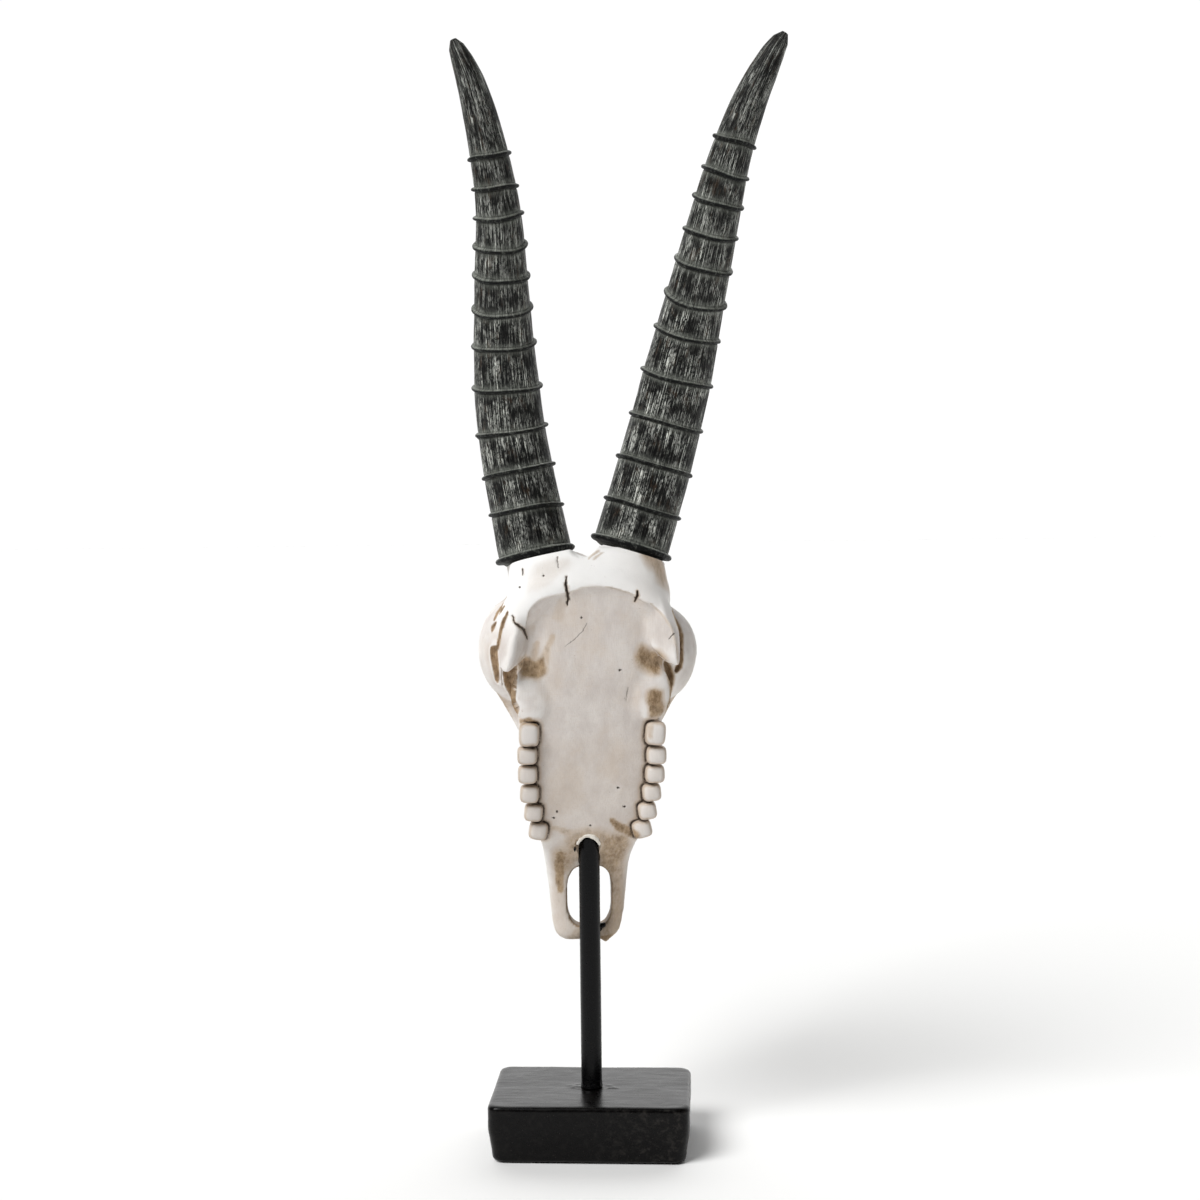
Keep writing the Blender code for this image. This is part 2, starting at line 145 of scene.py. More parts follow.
def bridgeRings(shape, rings):
    loops = [[shape.verts.new(point) for point in ring] for ring in rings]
    for lower, upper in zip(loops, loops[1:]):
        for i in range(len(lower)):
            j = (i + 1) % len(lower)
            shape.faces.new((lower[i], lower[j], upper[j], upper[i]))
    shape.faces.new(loops[0][::-1])
    shape.faces.new(loops[-1])


def addTube(shape, path, sides=18):
    # round bar through (x, y, z, radius) rows
    centres = [Vector(row[:3]) for row in path]
    side, rings = None, []
    for index, centre in enumerate(centres):
        along = centres[min(index + 1, len(centres) - 1)] - centres[max(index - 1, 0)]
        along.normalize()
        side = along.orthogonal() if side is None else side - along * side.dot(along)
        side.normalize()
        across = along.cross(side)
        rings.append([centre + (side * math.cos(a) + across * math.sin(a)) * path[index][3]
                      for a in (2 * math.pi * i / sides for i in range(sides))])
    bridgeRings(shape, rings)


def addBall(shape, middle, radii, turn=Matrix(), rings=24):
    placed = Matrix.Translation(middle) @ turn.to_4x4() @ Matrix.Diagonal((*radii, 1))
    bmesh.ops.create_uvsphere(shape, u_segments=2 * rings, v_segments=rings, radius=1, matrix=placed)


def makeObject(name, shape):
    # an object from a mesh drawn in mm
    bmesh.ops.recalc_face_normals(shape, faces=shape.faces)
    mesh = bpy.data.meshes.new(name)
    shape.to_mesh(mesh)
    shape.free()
    mesh.transform(Matrix.Scale(mm, 4))
    thing = bpy.data.objects.new(name, mesh)
    bpy.context.scene.collection.objects.link(thing)
    return thing


def settle(thing):
    # keep what the modifiers made
    made = bpy.data.meshes.new_from_object(thing.evaluated_get(bpy.context.evaluated_depsgraph_get()))
    thing.modifiers.clear()
    old, thing.data = thing.data, made
    bpy.data.meshes.remove(old)


def carve(thing, tool, operation="DIFFERENCE"):
    step = thing.modifiers.new("carve", "BOOLEAN")
    step.operation, step.solver, step.object = operation, "MANIFOLD", tool
    settle(thing)
    bpy.data.objects.remove(tool)


def readPoints(mesh):
    points = np.empty(len(mesh.vertices) * 3)
    mesh.vertices.foreach_get("co", points)
    return points.reshape(-1, 3) / mm


def writePoints(mesh, points):
    mesh.vertices.foreach_set("co", (points * mm).ravel())
    mesh.update()


def readNormals(mesh):
    normals = np.empty(len(mesh.vertices) * 3, np.float32)
    mesh.vertex_normals.foreach_get("vector", normals)
    return normals.reshape(-1, 3).astype(float)


def addValues(mesh, name, values):
    kind, field = ("FLOAT", "value") if values.ndim == 1 else ("FLOAT_VECTOR", "vector")
    layer = mesh.attributes.new(name, kind, "POINT")
    layer.data.foreach_set(field, values.astype(np.float32).ravel())


def hollowness(mesh, rounds):
    # how far each point lies below the surface smoothed over some rounds, in mm
    points, normals = readPoints(mesh), readNormals(mesh)
    ends = np.empty(len(mesh.edges) * 2, np.int64)
    mesh.edges.foreach_get("vertices", ends)
    a, b = ends[0::2], ends[1::2]
    both, other = np.concatenate((a, b)), np.concatenate((b, a))
    share = np.maximum(np.bincount(both, minlength=len(points)), 1)[:, None]
    soft = points.copy()
    for _ in range(rounds):
        mean = np.stack([np.bincount(both, soft[other, axis], len(points)) for axis in range(3)], 1)
        soft = soft * 0.4 + 0.6 * mean / share
    return ((soft - points) * normals).sum(1)


def keepInBox(points):
    low, high = (np.array(corner) / mm for corner in cadBox)
    return np.clip(points, low + roomInBox, high - roomInBox)


def finishPiece(thing, material, slot, *nodes, sharpFrom=60):
    mesh = thing.data
    writePoints(mesh, keepInBox(readPoints(mesh)))
    mesh.materials.clear()
    mesh.materials.append(material)
    mesh.shade_smooth()
    mesh.set_sharp_from_angle(angle=math.radians(sharpFrom))
    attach(thing, "root")
    if nodes:
        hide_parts(*nodes)


# Materials

def toLinear(colour):
    # sRGB hex to linear
    parts = [int(colour[i:i + 2], 16) / 255 for i in (1, 3, 5)]
    return (*(p / 12.92 if p <= 0.04045 else ((p + 0.055) / 1.055) ** 2.4 for p in parts), 1.0)


def addNode(tree, kind, settings=None, links=None):
    # one node, its settings by attribute or socket, and its links by socket
    node = tree.nodes.new(kind)
    for name, value in (settings or {}).items():
        if name == "stops":
            ramp = node.color_ramp
            while len(ramp.elements) < len(value):
                ramp.elements.new(0.5)
            for stop, (place, shade) in zip(ramp.elements, value):
                stop.position, stop.color = place, (shade, shade, shade, 1)
        elif isinstance(name, int) or (name in node.inputs and not hasattr(node, name)):
            node.inputs[name].default_value = value
        else:
            setattr(node, name, value)
    for name, source in (links or {}).items():
        tree.links.new(source, node.inputs[name])
    return node


def newMaterial(name, shaderSettings):
    material = bpy.data.materials.new(name)
    material.use_nodes = True
    tree = material.node_tree
    shader = tree.nodes["Principled BSDF"]
    for socket, value in shaderSettings.items():
        shader.inputs[socket].default_value = value
    return material, tree, shader


def addPatterns(tree, place, rows):
    # noise patterns by name: size in mm along each direction, detail, roughness, how far it is moved
    made = {}
    for name, (sizes, detail, roughness, moved) in rows.items():
        mapped = addNode(tree, "ShaderNodeMapping", {"Scale": tuple(1 / size / mm for size in sizes),
                                                     "Location": tuple(np.ones(3) * moved)},
                         {"Vector": place})
        made[name] = addNode(tree, "ShaderNodeTexNoise",
                             {"Scale": 1.0, "Detail": detail, "Roughness": roughness},
                             {"Vector": mapped.outputs[0]}).outputs["Fac"]
    return made


resinLook = dict(
    paint="#DED7D1",          # off-white matt paint over the casting
    greyPaint="#C6BCB6",      # where less paint took
    warmPaint="#CFBCA8",      # a trace of wash left by the rag
    thinPaint="#9E9186",      # resin showing through where the brush hardly reached
    chalk="#FDFCFA",          # painted highlight on the crest band, which faces the light, and thick white paint on rubbed edges
    wash="#B99C76",           # thinned brown wiped over hollows
    # grey-brown for painted shade on faces turned from the light, and for greyer paint on the teeth and the
    # jaw's right prong
    deepWash="#6E5539",
    soil="#3A2B1F",           # brown left in cracks and round the teeth
    # brush marks run up the casting, crossed by fainter ones; both about 0.3 mm wide on the real one
    # and drawn coarser to show
    patterns=dict(upright=((0.5, 0.5, 9.0), 4.0, 0.6, 0.0),
                  across=((9.0, 0.5, 0.5), 3.0, 0.6, (31.0, 21.7, 40.3)),
                  mottle=((9.0, 9.0, 16.2), 5.0, 0.6, 0.0),
                  broad=((24.0, 24.0, 40.0), 5.0, 0.6, (3.0, 2.1, 3.9)),
                  ragged=((1.3, 1.3, 2.86), 6.0, 0.7, (9.0, 6.3, 11.7)),     # as the rag left an edge
                  patchy=((4.0, 4.0, 6.0), 6.0, 0.68, (15.0, 10.5, 19.5)),
                  specks=((1.2, 1.2, 1.2), 2.0, 0.5, (21.0, 14.7, 27.3)),
                  grit=((1.0, 1.0, 1.0), 5.0, 0.65, (5.0, 3.5, 6.5))))


def washedCastResin():
    # Cast polyester resin, brushed matt white and wiped with brown wash: chalky light faces with faint
    # upright brush marks, a painted highlight on the crest, grey painted shade on faces turned from the
    # light, and brown that gathers in hollows and cracks.
    look = resinLook
    material, tree, shader = newMaterial("washedCastResin", {"Roughness": 0.62, "IOR": 1.5})
    place = addNode(tree, "ShaderNodeTexCoord").outputs["Object"]
    pattern = addPatterns(tree, place, look["patterns"])
    carried = {name: addNode(tree, "ShaderNodeAttribute", {"attribute_name": name}).outputs["Fac"]
               for name in ("wash", "soil", "chalk", "thin")}

    uneven = addNode(tree, "ShaderNodeMath", {"operation": "ADD", 1: 0.5}, {0: pattern["ragged"]})
    amount = addNode(tree, "ShaderNodeMath", {"operation": "MULTIPLY"},
                     {0: carried["wash"], 1: uneven.outputs[0]}).outputs[0]
    blotches = addNode(tree, "ShaderNodeValToRGB", {"stops": ((0.34, 1.0), (0.62, 0.45))},
                       {"Fac": pattern["patchy"]})
    deep = addNode(tree, "ShaderNodeMath", {"operation": "MULTIPLY"},
                   {0: amount, 1: blotches.outputs["Color"]}).outputs[0]
    uneven = addNode(tree, "ShaderNodeMath", {"operation": "MULTIPLY_ADD", 1: 0.4, 2: -0.2},
                     {0: pattern["ragged"]})
    dirt = addNode(tree, "ShaderNodeMath", {"operation": "ADD"},
                   {0: carried["soil"], 1: uneven.outputs[0]}).outputs[0]

    paint = None
    for source, colour, *stops in (
            (pattern["mottle"], "greyPaint", (0.38, 0.0), (0.72, 0.7)),
            (pattern["upright"], "greyPaint", (0.46, 0.0), (0.72, 0.42)),
            (pattern["across"], "warmPaint", (0.52, 0.0), (0.74, 0.3)),
            (pattern["broad"], "warmPaint", (0.5, 0.0), (0.72, 0.45)),
            (carried["chalk"], "chalk", (0.0, 0.0), (1.0, 1.0)),
            (carried["thin"], "thinPaint", (0.0, 0.0), (1.0, 1.0)),
            (amount, "wash", (0.08, 0.0), (0.9, 0.9)),
            (deep, "deepWash", (0.3, 0.0), (1.0, 0.95)),
            (dirt, "soil", (0.24, 0.0), (0.8, 0.95)),
            (pattern["specks"], "deepWash", (0.74, 0.0), (0.79, 0.55))):
        much = addNode(tree, "ShaderNodeValToRGB", {"stops": stops}, {"Fac": source}).outputs["Color"]
        under = {6: paint} if paint else {}
        paint = addNode(tree, "ShaderNodeMix", {"data_type": "RGBA", 6: toLinear(look["paint"]),
                                                7: toLinear(look[colour])}, {0: much, **under}).outputs[2]
    tree.links.new(paint, shader.inputs["Base Color"])

    rough = addNode(tree, "ShaderNodeMapRange", {"To Min": 0.5, "To Max": 0.76},
                    {"Value": pattern["upright"]})
    tree.links.new(rough.outputs[0], shader.inputs["Roughness"])
    lift = {}
    for name, strength, height in (("upright", 0.45, 0.22), ("across", 0.25, 0.2), ("grit", 0.35, 0.25)):
        bump = addNode(tree, "ShaderNodeBump", {"Strength": strength, "Distance": height * mm},
                       {"Height": pattern[name], **lift})
        lift = {"Normal": bump.outputs["Normal"]}
    tree.links.new(lift["Normal"], shader.inputs["Normal"])
    return material


hornLook = dict(
    stain="#101111",          # charcoal stain in the striations
    # near-black for the dark patches and for painted shadow in the furrows under the rings
    darkStainAndShadow="#040404",
    dryBrush="#EEF0E8",       # pale grey dragged over the ridges
    dust="#979B92",           # greenish grey that gathers beside the rings
    # near-black over each ring, left off its upper flank as a painted highlight
    bead="#0F1010",
    umber="#4A3A2C",
    # dashes sit on ridges about 0.3 mm wide on the real horn, drawn coarser to show
    patterns=dict(patches=((8.0, 8.0, 14.4), 6.0, 0.62, 0.0), brown=((5.0, 5.0, 12.0), 5.0, 0.65, 13.0),
                  lines=((0.42, 0.42, 22.0), 0.0, 0.5, 2.0), broken=((0.8, 0.8, 2.6), 3.0, 0.6, 33.0),
                  scratches=((0.6, 0.6, 0.9), 3.0, 0.6, 40.0), dusty=((3.0, 3.0, 5.0), 3.0, 0.6, 50.0),
                  halo=((1.1, 1.1, 2.6), 6.0, 0.7, 7.0), rubbed=((1.6, 1.6, 1.6), 4.0, 0.6, 70.0),
                  grit=((0.8, 0.8, 0.9), 5.0, 0.65, 4.0)))


def dryBrushedHorn():
    # Cast resin stained charcoal and dry-brushed with grey along its length: dark patches, dark furrows with
    # painted shadow under each ring, a painted highlight on each ring's top, pale broken dashes on the
    # ridges, greenish grey by the rings and a little umber.
    look = hornLook
    material, tree, shader = newMaterial("dryBrushedHorn", {"Roughness": 0.55, "IOR": 1.22})
    place = addNode(tree, "ShaderNodeAttribute", {"attribute_name": "alongHorn"}).outputs["Vector"]
    pattern = addPatterns(tree, place, look["patterns"])
    carried = {name: addNode(tree, "ShaderNodeAttribute", {"attribute_name": name}).outputs["Fac"]
               for name in ("raised", "byRing", "furrow", "bead")}
    mask = {}
    for name, source, *stops in (
            ("dark", pattern["patches"], (0.42, 0.0), (0.6, 1.0)),
            ("brown", pattern["brown"], (0.56, 0.0), (0.72, 0.7)),
            ("lines", pattern["lines"], (0.5, 0.0), (0.58, 1.0)),
            ("broken", pattern["broken"], (0.4, 0.0), (0.56, 1.0)),
            ("scratches", pattern["scratches"], (0.5, 0.0), (0.6, 1.0)),
            ("took", pattern["patches"], (0.42, 1.0), (0.58, 0.1)),
            ("ridges", carried["raised"], (0.15, 0.35), (0.75, 0.9)),
            ("dusty", pattern["dusty"], (0.44, 0.0), (0.62, 0.5)),
            ("halo", pattern["halo"], (0.4, 0.22), (0.6, 0.95)),
            ("rubbed", pattern["rubbed"], (0.52, 1.0), (0.8, 0.5))):
        mask[name] = addNode(tree, "ShaderNodeValToRGB", {"stops": stops}, {"Fac": source}).outputs["Color"]
    dashes = addNode(tree, "ShaderNodeMath", {"operation": "MULTIPLY"},
                     {0: mask["lines"], 1: mask["broken"]}).outputs[0]
    stain = None
    for colour, much, *others in (
            ("darkStainAndShadow", mask["dark"]),
            ("umber", mask["brown"]),
            ("dryBrush", dashes, mask["took"], mask["ridges"]),
            ("dust", mask["scratches"], mask["took"], mask["dusty"]),
            ("dust", carried["byRing"], mask["halo"]),
            ("bead", carried["bead"], mask["rubbed"]),
            ("darkStainAndShadow", carried["furrow"])):
        for other in others:
            much = addNode(tree, "ShaderNodeMath", {"operation": "MULTIPLY"}, {0: much, 1: other}).outputs[0]
        under = {6: stain} if stain else {}
        stain = addNode(tree, "ShaderNodeMix", {"data_type": "RGBA", 6: toLinear(look["stain"]),
                                                7: toLinear(look[colour])}, {0: much, **under}).outputs[2]
    tree.links.new(stain, shader.inputs["Base Color"])
    rough = addNode(tree, "ShaderNodeMapRange", {"To Min": 0.5, "To Max": 0.75}, {"Value": dashes})
    tree.links.new(rough.outputs[0], shader.inputs["Roughness"])
    lift = addNode(tree, "ShaderNodeBump", {"Strength": 0.5, "Distance": 0.2 * mm},
                   {"Height": mask["lines"]}).outputs["Normal"]
    grit = addNode(tree, "ShaderNodeBump", {"Strength": 0.4, "Distance": 0.25 * mm},
                   {"Height": pattern["grit"], "Normal": lift}).outputs["Normal"]
    tree.links.new(grit, shader.inputs["Normal"])
    return material


paintLook = dict(
    post=dict(name="glossEnamelledRod", colour="#050506", worn="#1D1C1C", roughness=(0.2, 0.34),
              run=26.0, width=2.2, lift=0.12),
    block=dict(name="satinEnamelledCasting", colour="#040303", worn="#5F5A55", roughness=(0.2, 0.36),
               run=26.0, width=6.0, lift=0.4))


def brushedEnamel(look, runsAlong):
    # Black enamel brushed by hand over metal: soft broken reflections, long shallow brush runs,
    # and paler scuffs where it was handled.
    material, tree, shader = newMaterial(look["name"], {"Roughness": 0.3, "IOR": 1.25})
    place = addNode(tree, "ShaderNodeTexCoord").outputs["Object"]

    sizes = [look["width"]] * 3
    sizes[runsAlong] = look["run"]
    pattern = addPatterns(tree, place, dict(runs=(sizes, 4.0, 0.5, 0.0),
                                            scuffs=((5.0, 5.0, 4.0), 8.0, 0.75, 0.0),
                                            grit=((1.1, 1.1, 1.1), 4.0, 0.5, 0.0)))
    marks = addNode(tree, "ShaderNodeValToRGB", {"stops": ((0.5, 0.0), (0.78, 0.6))},
                    {"Fac": pattern["scuffs"]})
    wear = addNode(tree, "ShaderNodeAttribute", {"attribute_name": "wear"}).outputs["Fac"]
    much = addNode(tree, "ShaderNodeMath", {"operation": "MULTIPLY"},
                   {0: marks.outputs["Color"], 1: wear}).outputs[0]
    colour = addNode(tree, "ShaderNodeMix", {"data_type": "RGBA", 6: toLinear(look["colour"]),
                                             7: toLinear(look["worn"])}, {0: much})
    tree.links.new(colour.outputs[2], shader.inputs["Base Color"])
    low, high = look["roughness"]
    rough = addNode(tree, "ShaderNodeMapRange", {"To Min": low, "To Max": high}, {"Value": pattern["scuffs"]})
    tree.links.new(rough.outputs[0], shader.inputs["Roughness"])
    lift = addNode(tree, "ShaderNodeBump", {"Strength": 0.5, "Distance": look["lift"] * mm},
                   {"Height": pattern["runs"]}).outputs["Normal"]
    grit = addNode(tree, "ShaderNodeBump", {"Strength": 0.15, "Distance": 0.1 * mm},
                   {"Height": pattern["grit"], "Normal": lift}).outputs["Normal"]
    tree.links.new(grit, shader.inputs["Normal"])
    return material


def bareFiller():
    # Plaster-like epoxy filler pressed in round the post and left unpainted: dead matt and white.
    material, tree, shader = newMaterial("bareEpoxyFiller", {"Roughness": 0.8, "IOR": 1.5})
    place = addNode(tree, "ShaderNodeTexCoord").outputs["Object"]
    lumps = addNode(tree, "ShaderNodeTexNoise", {"Scale": 1 / 1.6 / mm, "Detail": 5.0}, {"Vector": place})
    colour = addNode(tree, "ShaderNodeMix", {"data_type": "RGBA", 6: toLinear("#F4F1EA"),
                                             7: toLinear("#D9D0C2")}, {0: lumps.outputs["Fac"]})
    tree.links.new(colour.outputs[2], shader.inputs["Base Color"])
    grit = addNode(tree, "ShaderNodeBump", {"Strength": 0.6, "Distance": 0.4 * mm},
                   {"Height": lumps.outputs["Fac"]})
    tree.links.new(grit.outputs["Normal"], shader.inputs["Normal"])
    return material


# Skull

skull = dict(
    turn=6.3, sideShift=1.1, rise=1.2, grain=1.3, softening=6,
    # height, half width, back, widest, front, squareness of the face, lean
    stations=(
        (119.0, 13.6, 9.0, 12.0, 15.0, 2.2, -2.2), (123.5, 19.0, 7.2, 12.5, 18.5, 2.2, -2.3),
        (133.0, 21.5, 7.0, 13.0, 22.5, 2.0, -2.1), (152.0, 23.5, 6.6, 13.0, 28.0, 1.9, -1.8),
        (166.0, 25.0, 2.5, 11.0, 33.0, 1.8, -2.0), (177.0, 27.4, -5.0, 7.0, 36.5, 1.8, -1.3),
        (185.0, 30.5, -10.2, 3.0, 38.5, 1.8, -0.7), (203.0, 37.0, -15.6, -1.0, 42.0, 1.8, 0.0),
        (226.0, 40.6, -21.4, -4.0, 45.5, 1.8, 0.0), (250.0, 42.0, -27.0, -5.0, 49.5, 1.9, 0.0),
        (268.0, 42.6, -30.8, -2.0, 54.0, 2.2, 0.0), (284.0, 43.8, -34.0, 0.0, 57.0, 2.5, 0.0),
        (300.0, 45.6, -36.6, 2.0, 58.0, 2.6, 0.0), (316.0, 47.0, -38.0, 3.0, 56.0, 2.8, 0.0),
        (328.0, 48.0, -39.0, 3.0, 50.5, 2.8, 0.0), (338.0, 46.6, -39.4, 4.0, 43.0, 2.8, -0.6),
        (346.0, 45.2, -38.8, 4.0, 38.0, 2.7, -0.6), (352.0, 42.6, -37.0, 4.0, 33.0, 2.5, -0.4),
        (356.0, 38.0, -33.0, 4.0, 28.0, 2.4, 0.0)),
    palateSquareness=3.8,
    crest=((-45.5, -25.0, 303.0, 9.0), (-43.5, -26.5, 313.0, 10.5), (-36.0, -28.2, 323.5, 12.2),
           (-19.0, -28.8, 334.6, 12.6), (0.0, -28.8, 337.6, 12.6), (18.0, -28.6, 334.2, 12.3),
           (33.0, -27.8, 322.6, 11.2), (40.5, -26.0, 311.0, 9.8), (44.0, -24.5, 301.0, 8.6)),
    # lobes: height, outer x, ridge x, inner x, outer y, ridge y, inner y, front y
    leftLobe=((327.0, -46.5, -44.0, -36.0, -27.0, -35.0, -35.0, -20.0),
              (318.0, -49.0, -43.4, -36.0, -30.0, -39.8, -36.2, -22.0),
              (310.0, -51.6, -43.0, -35.6, -32.5, -42.6, -35.6, -24.0),
              (303.0, -52.8, -45.0, -35.6, -34.0, -43.6, -35.2, -25.0),
              (296.0, -53.2, -46.2, -37.0, -35.5, -43.6, -35.2, -28.0),
              (291.0, -52.9, -47.2, -41.0, -36.5, -43.0, -36.4, -31.0),
              (287.0, -51.6, -48.2, -45.6, -37.6, -41.4, -38.0, -34.0),
              (285.4, -50.4, -49.0, -48.0, -38.4, -40.2, -39.0, -36.0)),
    rightLobe=((327.0, 43.6, 40.6, 30.0, -27.0, -36.0, -36.0, -20.0),
               (318.0, 46.0, 42.8, 31.0, -31.0, -39.8, -36.8, -22.0),
               (312.0, 48.8, 44.8, 31.5, -33.5, -41.4, -36.9, -24.0),
               (306.0, 50.7, 46.8, 32.0, -35.0, -42.4, -36.8, -26.0),
               (299.0, 51.0, 48.2, 34.0, -36.0, -43.0, -36.8, -28.0),
               (294.0, 50.9, 48.9, 38.5, -36.8, -43.0, -38.0, -30.0),
               (289.8, 50.7, 49.3, 43.5, -37.6, -42.4, -39.0, -33.0),
               (287.9, 50.3, 49.6, 47.5, -38.6, -41.2, -39.4, -35.0)),
    cheeks=dict(left=((-40.0, 11.0, 295.2), (25.4, 25.0, 32.2)),
                right=((40.0, 11.0, 292.0), (25.0, 25.0, 30.0))),
    cheekRidge=((54.0, 13.0, 279.0, 6.4), (45.8, 15.0, 265.0, 6.0), (39.4, 14.0, 251.0, 5.0),
                (35.0, 12.0, 238.0, 3.4)),
    orbit=dict(middle=(50.2, 21.5, 294.5), outlook=(0.80, 0.58, 0.05), rimRadius=18.4,
               rimThickness=4.3, hollow=(15.6, 15.6, 18.0), outward=5.0),
    knob=((34.5, -27.6, 272.0), (12.6, 4.9, 17.0)),
    tearPit=((38.0, 38.5, 270.0), (6.0, 7.0, 9.5)),
    nasalBone=((5.2, 31.4, 170.0, 3.0), (6.4, 31.9, 180.0, 6.0), (7.2, 37.1, 210.0, 7.0),
               (7.2, 40.9, 240.0, 7.2), (5.6, 45.8, 264.0, 5.0)),
    nosePassage=((0.0, 40.0, 146.0, 12.6), (0.0, 31.0, 158.0, 12.6), (0.0, 25.0, 172.0, 11.0),
                 (0.0, 25.0, 186.0, 8.6), (0.0, 27.0, 198.0, 5.0)),
    jawGap=dict(side=-0.75, height=146.2, halfWidth=13.4, halfHeight=19.2, squareness=3.0),
    stub=((30.0, 25.0), (18.0, 23.0), (8.0, 21.2), (-6.0, 21.0)),
    stubShift=dict(left=2.8, right=1.0), saddle=(0.4, 350.0, 8.0, 1.2),
    seatRoom=(75.0, 40.0), gap=0.3,
    postHole=6.5, postTop=185.2, mouthRadius=7.3, mouthForward=6.5,
    nub=((9.0, 12.0, 118.6), (2.0, 2.6, 2.6)),
    # molars on each side: side, height, width, length, tilt in degrees
    leftTeeth=((-36.3, 248.3, 11.9, 14.2, 2), (-37.5, 235.8, 11.6, 10.7, 0), (-37.4, 224.3, 11.3, 10.8, 1),
               (-36.4, 212.4, 11.1, 10.6, 3), (-34.2, 200.9, 10.8, 10.4, 6), (-31.4, 189.6, 11.1, 10.8, 10)),
    rightTeeth=((37.1, 247.8, 11.9, 14.0, 5), (37.8, 234.7, 11.7, 10.9, 1), (37.0, 223.3, 11.5, 10.7, 0),
                (35.2, 212.1, 11.1, 10.5, -5), (32.8, 200.8, 10.9, 10.6, -9), (29.8, 189.6, 11.5, 10.9, -14)),
    toothOut=4.4, toothRoot=7.0, toothSquareness=3.7, grooveRoom=0.5, grooveDepth=1.3)

skullPlace = (Matrix.Translation((skull["sideShift"], 0, skull["rise"]))
              @ Matrix.Rotation(math.radians(skull["turn"]), 4, "Z"))


def toSide(row, side):
    return (row[0] * side, *row[1:])


def headRing(station, sides=72):
    height, halfWidth, back, widest, front, faceSquareness, lean = station
    ring = []
    for i in range(sides):
        c, s = math.cos(2 * math.pi * i / sides), math.sin(2 * math.pi * i / sides)
        power = 2 / (skull["palateSquareness"] if s < 0 else faceSquareness)
        reach = widest - back if s < 0 else front - widest
        ring.append((lean + signedPower(c, power) * halfWidth, widest + signedPower(s, power) * reach,
                     height))
    return ring


def palateDepth(height):
    return float(np.interp(height, [row[0] for row in skull["stations"]],
                           [row[2] for row in skull["stations"]]))


def outlook(side):
    look = Vector(toSide(skull["orbit"]["outlook"], side)).normalized()
    return look, look.to_track_quat("Z", "Y").to_matrix()


def addLobe(shape, rows):
    rings = []
    for height, outerX, ridgeX, innerX, outerY, ridgeY, innerY, frontY in smoothRead(rows, 30):
        rings.append([(outerX, outerY, height), (ridgeX, ridgeY, height), (innerX, innerY, height),
                      (innerX, frontY, height), (outerX, frontY, height)])
    bridgeRings(shape, rings)


def headForms():
    # everything that is melted together into the head
    shape = bmesh.new()
    bridgeRings(shape, [headRing(row) for row in smoothRead(skull["stations"], 90)])
    orbit = skull["orbit"]
    addTube(shape, smoothRead(skull["crest"], 90), 28)
    addBall(shape, *skull["nub"])
    for side, name in ((-1, "left"), (1, "right")):
        for part, count in (("cheekRidge", 24), ("nasalBone", 30)):
            addTube(shape, smoothRead([toSide(row, side) for row in skull[part]], count), 24)
        addBall(shape, *skull["cheeks"][name])
        middle, turn = Vector(toSide(orbit["middle"], side)), outlook(side)[1]
        addTube(shape, [(*(middle + turn @ Vector((math.cos(a), math.sin(a), 0)) * orbit["rimRadius"]),
                         orbit["rimThickness"]) for a in (2 * math.pi * i / 48 for i in range(49))])
        addBall(shape, toSide(skull["knob"][0], side), skull["knob"][1])
    addLobe(shape, skull["leftLobe"])
    addLobe(shape, skull["rightLobe"])
    bmesh.ops.transform(shape, matrix=skullPlace, verts=shape.verts)
    for name, horn in horns.items():
        seat, along = hornSeat(horn)
        seat.x += skull["stubShift"][name]
        addTube(shape, [(*(seat - along * down), radius) for down, radius in skull["stub"]], 36)
    return makeObject("skullCasting", shape)


def hollowForms():
    # eye sockets, tear pits and the nose passage
    shape = bmesh.new()
    orbit = skull["orbit"]
    for side in (-1, 1):
        look, turn = outlook(side)
        addBall(shape, Vector(toSide(orbit["middle"], side)) + look * orbit["outward"],
                orbit["hollow"], turn)
        addBall(shape, toSide(skull["tearPit"][0], side), skull["tearPit"][1])
    addTube(shape, smoothRead(skull["nosePassage"], 30), 30)
    bmesh.ops.transform(shape, matrix=skullPlace, verts=shape.verts)
    x, height, radius, fall = skull["saddle"]      # the notch between the horns
    addTube(shape, [(x, end * 60, height + radius + 1.2 - end * fall, radius) for end in (-1, 1)], 32)
    return makeObject("hollows", shape)


def jawGapForm():
    gap = skull["jawGap"]
    power = 2 / gap["squareness"]
    ring = [(gap["side"] + signedPower(math.cos(a), power) * gap["halfWidth"],
             gap["height"] + signedPower(math.sin(a), power) * gap["halfHeight"])
            for a in (2 * math.pi * i / 64 for i in range(64))]
    shape = bmesh.new()
    bridgeRings(shape, [[(x, depth, z) for x, z in ring] for depth in (-20, 60)])
    bmesh.ops.transform(shape, matrix=skullPlace, verts=shape.verts)
    return makeObject("jawGap", shape)


